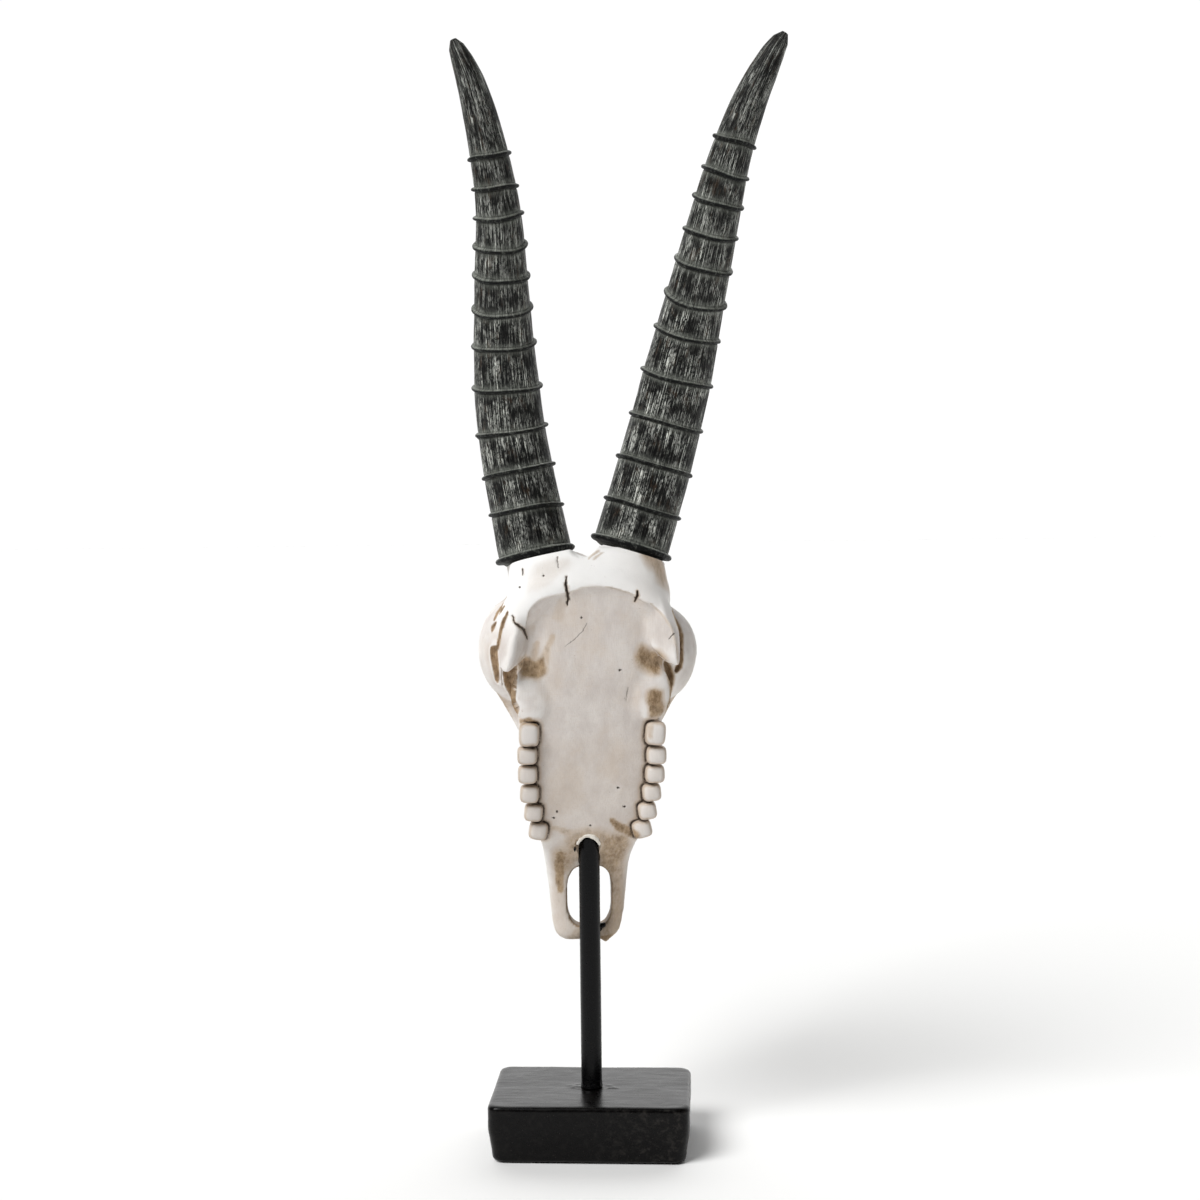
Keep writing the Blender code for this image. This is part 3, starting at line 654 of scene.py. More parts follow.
def toothForms(name, wider=0.0, sunk=0.0):
    # rounded blocks with their roots in the palate; wider and sunk make the groove round them
    shape = bmesh.new()
    power = skull["toothSquareness"]
    for row in skull["leftTeeth"] + skull["rightTeeth"]:
        side, height, width, length, tilt = row
        block = bmesh.new()
        bmesh.ops.create_cube(block, size=2.0)
        bmesh.ops.subdivide_edges(block, edges=list(block.edges), cuts=9, use_grid_fill=True)
        if sunk:
            deep = 2.0
            depth = palateDepth(height) + sunk - deep
        else:
            deep = (skull["toothRoot"] + skull["toothOut"]) / 2
            depth = palateDepth(height) + (skull["toothRoot"] - skull["toothOut"]) / 2
        middle = Vector((side - math.copysign(wider * 0.9, side), depth, height))
        half = (width / 2 + wider, deep, length / 2 + wider * 0.7)
        turn = Matrix.Rotation(math.radians(tilt), 3, "Y")
        for vert in block.verts:
            co = vert.co
            co /= sum(abs(value) ** power for value in co) ** (1 / power)
            crown = 1 + 0.05 * (1 - co.x * co.x - co.z * co.z) if co.y < 0 else 1
            vert.co = middle + turn @ Vector((co.x * half[0], co.y * half[1] * crown, co.z * half[2]))
        spare = bpy.data.meshes.new("tooth")
        block.to_mesh(spare)
        block.free()
        shape.from_mesh(spare)
        bpy.data.meshes.remove(spare)
    bmesh.ops.transform(shape, matrix=skullPlace, verts=shape.verts)
    return makeObject(name, shape)


# Details of the surface. Each is drawn flat, as seen from one side, in the skull's own frame: from
# the back, where the palate is, unless its row names another side.
flatViews = dict(back=((0, 2), (0, -1, 0)), front=((0, 2), (0, 1, 0)),
                 left=((1, 2), (-1, 0, 0)), right=((1, 2), (1, 0, 0)))

# recesses with crisp walls: outline, depth, width of the wall; fade is where a recess runs out
recesses = (
    dict(depth=1.15, wall=0.8, wash=0.0, fade=(286.0, 308.0),
         outline=((-38.0, 280.0), (-38.0, 304.0), (-37.0, 314.0), (-35.6, 320.6), (-31.2, 325.9),
                  (-26.5, 328.4), (-19.5, 329.8), (-9.2, 332.2), (-4.8, 333.9), (3.0, 334.4),
                  (13.3, 332.8), (20.2, 330.6), (25.3, 328.3), (30.5, 325.2), (34.1, 323.7),
                  (40.3, 318.2), (43.5, 313.4), (45.9, 309.2), (48.0, 301.4), (49.1, 296.6),
                  (49.8, 288.0), (45.0, 280.0))),
    dict(depth=3.4, wall=0.9, wash=0.95,
         outline=((-58.3, 297.9), (-54.8, 299.1), (-53.6, 297.8), (-53.4, 291.3), (-52.9, 284.9),
                  (-53.0, 279.7), (-53.8, 275.8), (-55.7, 277.8), (-57.0, 283.6), (-58.4, 291.4))),
    dict(depth=1.8, wall=0.7, wash=0.9,
         outline=((-54.5, 313.0), (-55.9, 312.1), (-57.9, 309.5), (-57.3, 305.6), (-55.3, 308.2),
                  (-53.9, 312.4))),
    dict(depth=4.4, wall=1.0, wash=1.0,
         outline=((-51.0, 284.0), (-47.9, 286.0), (-42.7, 289.4), (-42.5, 282.0), (-42.9, 275.6),
                  (-43.4, 269.1), (-41.6, 265.2), (-41.9, 261.4), (-43.5, 260.0), (-45.7, 263.4),
                  (-47.5, 269.2), (-50.0, 274.4), (-51.0, 279.6))),
)
# slits, grooves, cracks and pits: rows of (a, b, half width), depth, how dirty, how much they wander
slits = (
    dict(depth=5.5, soil=0.36, wash=0.9, wander=0.2,
         path=((47.4, 318.9, 0.4), (50.2, 313.4, 0.9), (52.5, 308.0, 1.3), (53.6, 303.0, 1.5),
               (53.7, 295.0, 1.3), (53.8, 288.3, 1.2), (52.6, 284.6, 1.5), (51.4, 282.6, 1.0))),
    dict(depth=5.0, soil=0.36, wash=0.9, wander=0.2,
         path=((44.6, 287.6, 1.2), (46.3, 283.5, 1.8), (47.3, 278.6, 2.0), (47.6, 274.0, 1.5),
               (46.6, 267.0, 1.1), (43.4, 260.6, 0.5))),
    dict(depth=0.9, soil=0.1, wash=0.9, wander=0.2,
         path=((-49.4, 323.2, 0.3), (-52.1, 319.7, 0.5), (-54.1, 317.0, 0.5), (-55.6, 313.4, 0.3))),
    dict(depth=1.8, soil=0.15, wash=1.0, wander=0.2,
         path=((-47.8, 319.8, 0.4), (-50.4, 313.9, 0.7), (-52.2, 307.4, 0.6), (-53.3, 301.0, 0.6),
               (-54.0, 297.0, 0.5))),
    dict(depth=1.5, soil=0.0, wash=0.1, wander=0.1,        # between the two recesses
         path=((-51.8, 286.0, 0.4), (-52.0, 280.0, 0.4), (-51.4, 275.0, 0.3))),
    dict(depth=2.2, soil=1.0, wash=0.4, wander=0.35,
         path=((-13.8, 340.3, 0.35), (-14.6, 335.8, 0.8), (-13.6, 331.5, 1.0), (-13.3, 327.5, 0.8),
               (-13.6, 323.2, 0.3))),
    dict(depth=1.8, soil=1.0, wash=0.5, wander=0.3,
         path=((26.2, 331.2, 0.7), (26.5, 328.8, 1.0), (25.0, 325.2, 0.6))),
    dict(depth=1.4, soil=1.0, wash=0.4, wander=0.3,
         path=((-44.8, 317.8, 0.5), (-44.0, 314.4, 0.7), (-40.8, 311.8, 0.8), (-38.7, 309.9, 0.9),
               (-36.8, 304.2, 0.4))),
    dict(depth=0.8, soil=0.7, wash=0.2, wander=0.3,
         path=((-19.1, 351.2, 0.45), (-18.8, 348.4, 0.45), (-18.2, 345.0, 0.3))),
    dict(depth=0.6, soil=0.9, wash=0.2, wander=0.3,
         path=((-38.8, 344.2, 0.6), (-38.7, 341.0, 0.4))),
    dict(depth=0.6, soil=0.55, wash=0.1, wander=0.3,
         path=((-2.6, 313.2, 0.4), (-4.8, 308.6, 0.45), (-9.4, 304.0, 0.45), (-15.4, 299.8, 0.25))),
    dict(depth=0.5, soil=0.5, wash=0.1, wander=0.3,
         path=((21.0, 275.4, 0.4), (20.1, 267.8, 0.3))),
    dict(depth=0.8, soil=0.8, wash=0.1, wander=0.3,
         path=((47.0, 306.6, 0.5), (44.4, 303.8, 0.4))),
    dict(depth=0.45, soil=0.24, wash=0.3, wander=0.2,       # line down the right lobe
         path=((34.1, 323.7, 0.4), (40.3, 318.2, 0.5), (43.5, 313.4, 0.5), (45.9, 309.2, 0.5),
               (47.8, 301.4, 0.5), (48.8, 296.6, 0.5), (49.4, 289.4, 0.4))),
    dict(depth=0.4, soil=0.35, wash=0.3, wander=0.3,       # thin dark line along the arc: brown wash and painted shadow under the step
         path=((8.0, 333.9, 0.3), (13.3, 332.9, 0.45), (20.2, 330.7, 0.4), (24.4, 328.9, 0.3))),
    *(dict(depth=0.9, soil=1.0, wash=0.0, wander=0.1, path=((x, z, 0.75), (x + 0.1, z, 0.75)))
      for x, z in ((-20.4, 201.3), (-22.2, 197.2), (-0.8, 192.2), (15.3, 215.2), (19.3, 203.4),
                   (-5.7, 316.2), (16.1, 285.6), (-40.6, 334.0), (-27.0, 340.6))),
)
# the front: the middle seam, the seams round the nasal bones, openings over the eyes, cracks, pores
slits += (
    dict(view="front", depth=0.7, soil=0.5, wash=0.7, wander=0.5,
         path=((0.4, 344.0, 0.3), (0.2, 330.0, 0.5), (-0.4, 312.0, 0.5), (0.3, 292.0, 0.45),
               (0.0, 272.0, 0.5))),
    dict(view="front", depth=0.7, soil=0.55, wash=0.8, wander=0.2,
         path=((0.0, 266.0, 0.4), (0.1, 230.0, 0.5), (-0.1, 196.0, 0.5), (0.0, 178.0, 0.4))),
    *(dict(view="front", depth=0.8, soil=0.5, wash=0.8, wander=0.6,
           path=((side * 1.0, 271.0, 0.4), (side * 9.0, 268.0, 0.5), (side * 14.0, 262.0, 0.55),
                 (side * 15.6, 246.0, 0.5), (side * 14.6, 220.0, 0.5), (side * 13.0, 196.0, 0.5),
                 (side * 12.4, 180.0, 0.4))) for side in (-1, 1)),
    *(dict(view="front", depth=0.6, soil=0.4, wash=0.6, wander=0.7,
           path=((side * 14.6, 262.0, 0.4), (side * 22.0, 268.0, 0.5), (side * 29.0, 278.0, 0.45),
                 (side * 33.0, 284.0, 0.3))) for side in (-1, 1)),
    *(dict(view="front", depth=0.7, soil=0.35, wash=0.6, wander=0.7,
           path=((side * 13.6, 206.0, 0.4), (side * 19.0, 198.0, 0.5), (side * 24.0, 188.0, 0.4)))
      for side in (-1, 1)),
    *(dict(view="front", depth=4.0, soil=1.0, wash=0.9, wander=0.2,
           path=((side * 20.5, 314.0, 1.5), (side * 20.0, 311.0, 2.1), (side * 19.6, 308.0, 1.2)))
      for side in (-1, 1)),
    *(dict(view="front", depth=1.6, soil=0.4, wash=0.9, wander=0.2,
           path=((side * 20.2, 308.0, 1.3), (side * 19.0, 300.0, 1.0), (side * 18.4, 292.0, 0.4)))
      for side in (-1, 1)),
    dict(view="front", depth=0.9, soil=0.9, wash=0.3, wander=0.5,
         path=((-12.0, 341.0, 0.3), (-10.6, 334.0, 0.7), (-11.4, 326.0, 0.6), (-9.6, 319.0, 0.3))),
    dict(view="front", depth=0.8, soil=0.9, wash=0.3, wander=0.5,
         path=((26.0, 302.0, 0.3), (28.4, 296.0, 0.6), (27.6, 290.0, 0.6), (29.4, 284.0, 0.25))),
    dict(view="front", depth=0.8, soil=0.8, wash=0.3, wander=0.5,
         path=((-19.0, 246.0, 0.3), (-20.6, 236.0, 0.6), (-19.4, 226.0, 0.5), (-20.4, 219.0, 0.25))),
    *(dict(view="front", depth=0.9, soil=1.0, wash=0.0, wander=0.1, path=((x, z, 0.7), (x + 0.1, z, 0.7)))
      for x, z in ((8.0, 331.0), (13.5, 322.5), (-24.0, 322.0), (-6.5, 300.5), (9.0, 288.0), (18.0, 247.0),
                   (20.5, 232.0), (-16.8, 208.0), (17.0, 170.0), (-18.4, 162.0))),
    *(dict(view=view, depth=3.2, soil=1.0, wash=0.9, wander=0.2,      # opening below the eye
           path=((18.0, 226.0, 1.0), (17.0, 222.0, 1.9), (15.6, 218.0, 1.1))) for view in ("left", "right")),
    *(dict(view=view, depth=0.8, soil=0.45, wash=0.7, wander=0.6,
           path=((28.0, 262.0, 0.4), (21.0, 252.0, 0.55), (17.0, 240.0, 0.5), (8.0, 232.0, 0.3)))
      for view in ("left", "right")),
    *(dict(view=view, depth=0.8, soil=0.8, wash=0.3, wander=0.6,
           path=((6.0, 344.0, 0.3), (9.0, 336.0, 0.6), (8.0, 328.0, 0.5), (10.6, 321.0, 0.25)))
      for view in ("left", "right")),
)
# where the wash stayed: outline or path, how much, how far its edge spreads
stains = (
    dict(wash=0.95, soft=3.6,
         outline=((-37.6, 293.6), (-31.5, 291.4), (-26.9, 292.6), (-26.4, 286.0), (-28.0, 282.2),
                  (-32.6, 280.6), (-39.4, 282.6), (-40.4, 289.4))),
    dict(wash=1.0, soil=0.35, path=((-39.6, 289.6, 2.2), (-35.8, 289.8, 2.4))),
    dict(wash=0.5, path=((-31.5, 301.5, 1.4), (-32.6, 296.0, 2.0), (-33.0, 290.0, 2.0))),
    dict(wash=0.5, path=((-22.6, 305.6, 1.4), (-25.4, 297.0, 2.2), (-26.4, 290.0, 2.2))),
    dict(wash=0.95, soft=5.0,
         outline=((28.0, 299.0), (33.6, 295.6), (39.6, 295.0), (42.0, 290.6), (39.8, 284.0),
                  (33.5, 283.4), (27.4, 290.0))),
    dict(wash=1.0, soil=0.32, path=((30.0, 292.2, 2.0), (36.0, 289.6, 2.6), (38.4, 286.4, 2.0))),
    dict(wash=0.95, soft=3.6,
         outline=((33.6, 273.0), (40.2, 272.6), (41.4, 262.0), (38.0, 258.6), (33.4, 260.0))),
    dict(wash=1.0, soil=0.4, path=((35.0, 263.0, 2.4), (39.0, 262.0, 2.4))),
    dict(wash=0.45, path=((34.6, 256.6, 1.6), (33.4, 246.0, 1.4))),
    dict(wash=0.85, path=((-41.0, 255.4, 1.4), (-36.6, 256.9, 1.8), (-32.2, 255.0, 1.4))),
    dict(wash=0.9, path=((12.0, 195.0, 1.8), (17.0, 190.5, 2.8), (25.0, 186.5, 3.0))),
    dict(wash=0.66, soft=6.0,
         outline=((-21.4, 177.0), (-10.0, 176.0), (-9.6, 168.0), (-14.6, 160.0), (-20.0, 160.6),
                  (-22.4, 168.0))),
    dict(wash=0.95, path=((-18.0, 173.0, 2.6), (-18.6, 165.0, 3.2), (-18.0, 150.0, 1.6))),
    dict(wash=0.76, soft=6.5,
         outline=((6.0, 185.0), (22.0, 184.0), (20.0, 172.0), (15.0, 160.0), (6.0, 166.0))),
    dict(wash=0.56, soft=5.0,
         outline=((9.0, 172.0), (20.0, 170.0), (18.0, 116.0), (6.0, 116.0))),
    dict(wash=0.55, soft=4.0,
         outline=((-12.0, 126.0), (8.0, 126.0), (8.0, 112.0), (-12.0, 112.0))),
    dict(wash=0.9, soil=0.35, path=((6.0, 119.5, 2.2), (12.5, 121.0, 1.6))),
    dict(wash=1.0, soil=0.6, path=((-8.6, 182.6, 0.8), (-8.2, 178.6, 0.8))),
    dict(wash=0.62, soft=6.0,                       # brown wash and painted shade round the post's end, where the palate slopes in under it
         outline=((-13.0, 187.0), (12.0, 187.0), (13.0, 170.0), (-13.0, 170.0))),
    dict(wash=0.5, path=((-22.0, 190.6, 1.4), (-12.0, 188.0, 2.0))),
    dict(wash=0.5, path=((-1.0, 350.2, 0.5), (4.8, 354.2, 0.7))),
    dict(wash=0.5, path=((1.4, 349.4, 0.4), (7.4, 353.6, 0.5))),
    dict(wash=0.2, soft=5.0,
         outline=((-34.0, 332.0), (-18.0, 340.0), (-12.0, 349.0), (-30.0, 347.0))),
    dict(wash=0.3, path=((-17.0, 325.0, 2.6), (-19.0, 317.0, 3.0))),
    dict(wash=0.28, soft=7.0,
         outline=((-26.0, 222.0), (-8.0, 230.0), (-4.0, 206.0), (-22.0, 200.0))),
    dict(wash=0.62, soft=5.0,                       # dusty neck under the right horn
         outline=((30.0, 353.0), (46.0, 350.0), (50.0, 330.0), (42.0, 336.0))),
    dict(wash=0.34, soft=6.0,
         outline=((-22.0, 176.0), (-9.0, 176.0), (-9.0, 112.0), (-22.0, 112.0))),
    *(dict(view="front", wash=0.6, path=((side * 19.0, 304.0, 3.0), (side * 17.0, 286.0, 3.0),
                                         (side * 15.0, 268.0, 2.0))) for side in (-1, 1)),
    *(dict(view="front", wash=0.5, path=((side * 14.4, 250.0, 1.6), (side * 13.4, 214.0, 1.8),
                                         (side * 13.0, 184.0, 1.8))) for side in (-1, 1)),
    dict(view="front", wash=0.42, soft=7.0,
         outline=((-9.0, 316.0), (6.0, 322.0), (12.0, 300.0), (-4.0, 290.0))),
    dict(view="front", wash=0.6, soft=5.0,
         outline=((-24.0, 186.0), (-12.0, 184.0), (-14.0, 150.0), (-22.0, 150.0))),
    dict(view="front", wash=0.55, soft=5.0,
         outline=((12.0, 182.0), (22.0, 180.0), (19.0, 140.0), (12.0, 150.0))),
    dict(view="front", wash=0.7, soft=4.0,
         outline=((-14.0, 128.0), (10.0, 128.0), (8.0, 112.0), (-12.0, 112.0))),
    *(dict(view=view, wash=0.6, soft=5.0,
           outline=((10.0, 276.0), (30.0, 268.0), (26.0, 246.0), (14.0, 250.0)))
      for view in ("left", "right")),
    *(dict(view=view, wash=0.45, soft=6.0,
           outline=((-8.0, 232.0), (12.0, 226.0), (8.0, 196.0), (-4.0, 200.0)))
      for view in ("left", "right")),
    dict(wash=0.15, soft=8.0,
         outline=((-44.0, 240.0), (44.0, 240.0), (30.0, 180.0), (-34.0, 180.0))),
)


def applyPlace(points):
    # world mm into the skull's own frame
    turn = np.array(skullPlace.inverted().to_3x3())
    return (points - np.array(skullPlace.translation)) @ turn.T


def flatPlaces(points, normals, view):
    axes, direction = flatViews[view]
    own = applyPlace(points)
    turn = np.array(skullPlace.to_3x3())
    facing = (normals @ turn) @ np.array(direction, float)
    return own[:, axes], facing


def wandering(points):
    # sideways wander of a crack, in mm
    return np.stack((unevenness(points, 1.7, 8), unevenness(points, 1.7, 18)), 1)


def refine(mesh, wanted, cuts):
    # more faces where wanted says so
    shape = bmesh.new()
    shape.from_mesh(mesh)
    shape.verts.ensure_lookup_table()
    edges = [edge for edge in shape.edges if wanted[edge.verts[0].index] and wanted[edge.verts[1].index]]
    bmesh.ops.subdivide_edges(shape, edges=edges, cuts=cuts, use_grid_fill=True)
    shape.to_mesh(mesh)
    shape.free()


def makeSkull():
    casting = headForms()
    melt = casting.modifiers.new("melt", "REMESH")
    melt.mode, melt.voxel_size = "VOXEL", skull["grain"] * mm
    soften = casting.modifiers.new("soften", "SMOOTH")
    soften.factor, soften.iterations = 0.5, skull["softening"]
    settle(casting)
    carve(casting, hollowForms())
    carve(casting, jawGapForm())
    melt = casting.modifiers.new("melt", "REMESH")
    melt.mode, melt.voxel_size = "VOXEL", skull["grain"] * mm
    soften = casting.modifiers.new("soften", "SMOOTH")
    soften.factor, soften.iterations = 0.5, 2
    settle(casting)
    print("skull forms melted:", len(casting.data.polygons), "faces")

    mesh = casting.data
    points, normals = readPoints(mesh), readNormals(mesh)
    wanted = np.zeros(len(points), bool)
    for row in recesses:
        flat, facing = flatPlaces(points, normals, row.get("view", "back"))
        outline = smoothRead(row["outline"], 4 * len(row["outline"]), closed=True)
        reach = (abs(insideBy(flat, outline)) < 1.7) & (facing > 0.0)
        wanted |= reach & (flat[:, 1] > row.get("fade", (0,))[0] + 2)
    for row in slits:
        flat, facing = flatPlaces(points, normals, row.get("view", "back"))
        wanted |= (nearness(flat, [(a, b, 0.9 + w) for a, b, w in row["path"]]) < 1) & (facing > 0.0)
    refine(mesh, wanted, 2)

    points, normals = readPoints(mesh), readNormals(mesh)
    moved = np.zeros(len(points))
    for row in recesses:
        flat, facing = flatPlaces(points, normals, row.get("view", "back"))
        outline = smoothRead(row["outline"], 4 * len(row["outline"]), closed=True)
        depth = insideBy(flat, outline) + 0.35 * unevenness(points, 3.0, 5, 2)
        mask = smoothStep(0.0, row["wall"], depth) * smoothStep(0.0, 0.25, facing)
        if "fade" in row:
            mask *= np.maximum(smoothStep(*row["fade"], flat[:, 1]), 0.3 * (flat[:, 0] > 42))
            moved += mask * row["depth"]
        else:
            moved = np.maximum(moved, mask * row["depth"])
    for row in slits:
        flat, facing = flatPlaces(points, normals, row.get("view", "back"))
        near = nearness(flat + row["wander"] * wandering(points), row["path"])
        mask = np.clip(1 - near ** 2, 0, 1) * smoothStep(0.0, 0.2, facing)
        moved = np.maximum(moved, mask * row["depth"])
    points -= normals * moved[:, None]
    points += normals * (0.24 * unevenness(points, 10.0, 3, 3) + 0.06 * unevenness(points, 2.4, 4))[:, None]
    writePoints(mesh, points)

    carve(casting, toothForms("grooves", skull["grooveRoom"], skull["grooveDepth"]))
    carve(casting, toothForms("teeth"), "UNION")
    for horn in horns.values():
        seat, along = hornSeat(horn)
        radius, height = skull["seatRoom"]
        start = seat - along * skull["gap"]
        shape = bmesh.new()
        addTube(shape, [(*start, radius), (*(start + along * height), radius)], 64)
        carve(casting, makeObject("seat", shape))
    top, gap = skull["postTop"] + skull["gap"], skull["mouthRadius"]
    shape = bmesh.new()
    addTube(shape, [(0, 0, 0, skull["postHole"]), (0, 0, top, skull["postHole"])], 48)
    carve(casting, makeObject("postHole", shape))
    shape = bmesh.new()
    addTube(shape, [(0, -skull["mouthForward"], height, radius) for height, radius in (
        (140.0, gap), (top - 2.2, gap), (top, gap * 0.8), (top + 1.2, gap * 0.4))], 48)
    carve(casting, makeObject("postMouth", shape))
    print("skull carved:", len(casting.data.polygons), "faces")
    paintSkull(casting.data)
    finishPiece(casting, washedCastResin(), slots["skull"], "skull", sharpFrom=50)
    return casting


def toothEdge(flat, row, squareness):
    # distance outside one tooth's outline, and how far along its width a place lies
    side, height, width, length, tilt = row
    c, s = math.cos(math.radians(tilt)), math.sin(math.radians(tilt))
    u, v = flat[:, 0] - side, flat[:, 1] - height
    across, along = (u * c - v * s) / (width / 2), (u * s + v * c) / (length / 2)
    level = (abs(across) ** squareness + abs(along) ** squareness) ** (1 / squareness)
    return (level - 1) * min(width, length) / 2, across * math.copysign(1, side)


def paintSkull(mesh):
    # how much wash, dark soil and thick white paint each point carries
    points, normals = readPoints(mesh), readNormals(mesh)
    own = applyPlace(points)
    wash, soil, chalk = (np.zeros(len(points)) for _ in range(3))
    for row in recesses:
        flat, facing = flatPlaces(points, normals, row.get("view", "back"))
        outline = smoothRead(row["outline"], 4 * len(row["outline"]), closed=True)
        inside = smoothStep(-0.1, 0.7, insideBy(flat, outline)) * (facing > -0.3)
        wash = np.maximum(wash, inside * row["wash"])
    drift = 1.8 * np.stack((unevenness(points, 6.0, 28, 2), unevenness(points, 6.0, 38, 2)), 1)
    for row in stains:
        flat, facing = flatPlaces(points, normals, row.get("view", "back"))
        flat = flat + drift * min(1.0, row.get("soft", 1.2) / 2)
        if "outline" in row:
            away = insideBy(flat, smoothRead(row["outline"], 4 * len(row["outline"]), closed=True))
            mask = smoothStep(-row["soft"], row["soft"] * 0.6, away)
        else:
            mask = 1 - smoothStep(0.5, 1.7, nearness(flat, row["path"]))
        mask = mask * smoothStep(0.0, 0.35, facing)
        wash = np.maximum(wash, mask * row["wash"])
        soil = np.maximum(soil, mask * row.get("soil", 0.0))
    for row in slits:
        flat, facing = flatPlaces(points, normals, row.get("view", "back"))
        near = nearness(flat + row["wander"] * wandering(points), row["path"])
        mask = smoothStep(-0.2, 0.1, facing)
        if "view" not in row:
            mask = (facing > -0.4) * (own[:, 1] < 10)
        soil = np.maximum(soil, (1 - smoothStep(0.55, 1.15, near)) * mask * row["soil"])
        wash = np.maximum(wash, (1 - smoothStep(0.9, 2.2, near)) * mask * row["wash"])
    teeth = np.zeros(len(points))
    flat = own[:, (0, 2)]
    backward = own[:, 1] < np.interp(own[:, 2], [row[0] for row in skull["stations"]],
                                     [row[2] for row in skull["stations"]]) + 8
    for row in skull["leftTeeth"] + skull["rightTeeth"]:
        away, across = toothEdge(flat, row, skull["toothSquareness"])
        inner = smoothStep(0.2, -0.6, across)
        seam = smoothStep(-0.25, 0.2, away) * (1 - smoothStep(0.5, 0.9 + 1.3 * inner, away))
        seam *= smoothStep(1.06, 0.88, across) * backward
        soil = np.maximum(soil, seam * (0.6 + 0.25 * inner))
        rim = smoothStep(-2.4, -0.2, away) * (1 - smoothStep(1.2, 2.6 + 1.4 * inner, away))
        wash = np.maximum(wash, rim * backward * smoothStep(1.1, 0.85, across) * 0.5)
        teeth = np.maximum(teeth, (away < 0.2) * backward)
    gap = skull["jawGap"]
    wall = (abs((own[:, 0] - gap["side"]) / gap["halfWidth"]) ** gap["squareness"]
            + abs((own[:, 2] - gap["height"]) / gap["halfHeight"]) ** gap["squareness"])
    wall = smoothStep(1.22, 1.06, wall)
    wash, soil = np.maximum(wash, wall * 0.95), np.maximum(soil, wall * 0.42)
    # the wash ran into the eye sockets and lies darkest at the bottom
    orbit = skull["orbit"]
    for side in (-1, 1):
        look, turn = outlook(side)
        centre = np.array(Vector(toSide(orbit["middle"], side)) + look * orbit["outward"])
        place = (own - centre) @ np.array(turn)
        inside = smoothStep(1.06, 1.0, np.linalg.norm(place / np.array(orbit["hollow"]), axis=1))
        deep = smoothStep(2.0, -14.0, place[:, 2] + 5.0 * unevenness(own, 7.0, 44, 2))
        wash = np.maximum(wash, inside * (0.3 + 0.65 * deep))
        soil = np.maximum(soil, inside * deep * 0.34)
    small, large = hollowness(mesh, 3), hollowness(mesh, 24)
    wash = np.maximum(wash, smoothStep(0.4, 1.8, large) * 0.6)
    soil = np.maximum(soil, smoothStep(0.2, 0.7, small) * 0.5)
    # painted highlight over the crest and down the left lobe, laid on as thick white paint and stronger
    # towards the left, where the light falls; raised places get thick white paint too
    arc = insideBy(flat, smoothRead(recesses[0]["outline"], 88, closed=True))
    crest = smoothStep(0.4, -1.0, arc) * smoothStep(296, 322, own[:, 2]) * smoothStep(10, -10, own[:, 1])
    chalk = crest * (0.65 + 0.3 * smoothStep(36, 4, own[:, 0]))
    chalk = np.maximum(chalk, smoothStep(0.05, 0.5, -large) * 0.5) * (1 - np.clip(wash * 1.4, 0, 1))
    # painted shade: grey on the faces turned to the right and on the left lobe's inner face, which lie away
    # from the light; the teeth, the left ones more, and the jaw's right prong are made greyer as well
    facing = flatPlaces(points, normals, "right")[1]
    thin = smoothStep(0.35, 0.9, facing) * (own[:, 1] < 12) * 0.3
    lobe = smoothStep(284, 290, own[:, 2]) * smoothStep(316, 308, own[:, 2]) * (own[:, 1] < -34)
    thin = np.maximum(thin, smoothStep(0.3, 0.7, facing) * (own[:, 0] < 0) * lobe * 0.3)
    thin = np.maximum(thin, teeth * np.where(own[:, 0] < 0, 0.36, 0.2)) * (1 - 0.6 * chalk)
    thin = np.maximum(thin, smoothStep(165, 150, own[:, 2]) * (own[:, 0] > 2) * 0.4)
    for name, values in (("wash", wash), ("soil", soil), ("chalk", chalk), ("thin", thin)):
        addValues(mesh, name, np.clip(values, 0, 1))


# Horns

hornGirth = ((0.0, 22.0), (0.17, 21.2), (0.34, 19.8), (0.50, 16.6), (0.64, 13.9), (0.78, 11.1),
             (0.86, 9.6), (0.92, 8.0), (0.96, 6.3), (0.985, 4.6), (1.0, 1.8))
hornMake = dict(sides=264, rowGap=1.5, ringRowGap=0.4, ringReach=3.2, ringOut=1.8, ringHalf=1.25,
                baseRingOut=2.5, baseRingHalf=1.9, straightened=20.0, foot=18.6, collar=20.7)
horns = dict(
    left=dict(
        line=((-29.4, 4.0, 348.2), (-35.5, 6.0, 378.3), (-43.5, 5.6, 425.7), (-46.1, -5.6, 474.5),
              (-45.4, -23.0, 513.0), (-45.0, -36.0, 545.0), (-48.9, -43.5, 577.0),
              (-57.8, -46.0, 615.3), (-68.0, -46.6, 641.4)),
        rings=(3.5, 30.7, 54.1, 78.9, 104.7, 130.1, 152.1, 171.7, 189.3, 206.1, 221.7, 239.1),
        girth=0.98, seed=11),
    right=dict(
        line=((25.7, 4.0, 352.0), (33.6, 6.2, 378.5), (47.9, 7.6, 429.2), (61.0, -2.0, 480.2),
              (71.0, -18.6, 518.5), (83.6, -34.6, 567.1), (95.9, -40.0, 601.8),
              (108.6, -41.6, 627.8), (117.2, -42.0, 641.4)),
        rings=(3.5, 27.7, 53.7, 80.5, 107.5, 134.1, 155.7, 176.3, 194.5, 212.9, 229.3, 246.9),
        girth=1.03, seed=29))


def hornLine(horn):
    # fine middle line and the distance along it
    line = np.array(smoothRead(horn["line"], 640)) + (0, 0, skull["rise"])
    reached = np.concatenate(([0], np.cumsum(np.linalg.norm(np.diff(line, axis=0), axis=1))))
    return line, reached


def hornSeat(horn):
    line, reached = hornLine(horn)
    seat = Vector(line[0])
    ahead = Vector([np.interp(0.9, reached, line[:, axis]) for axis in range(3)])
    return seat, (ahead - seat).normalized()


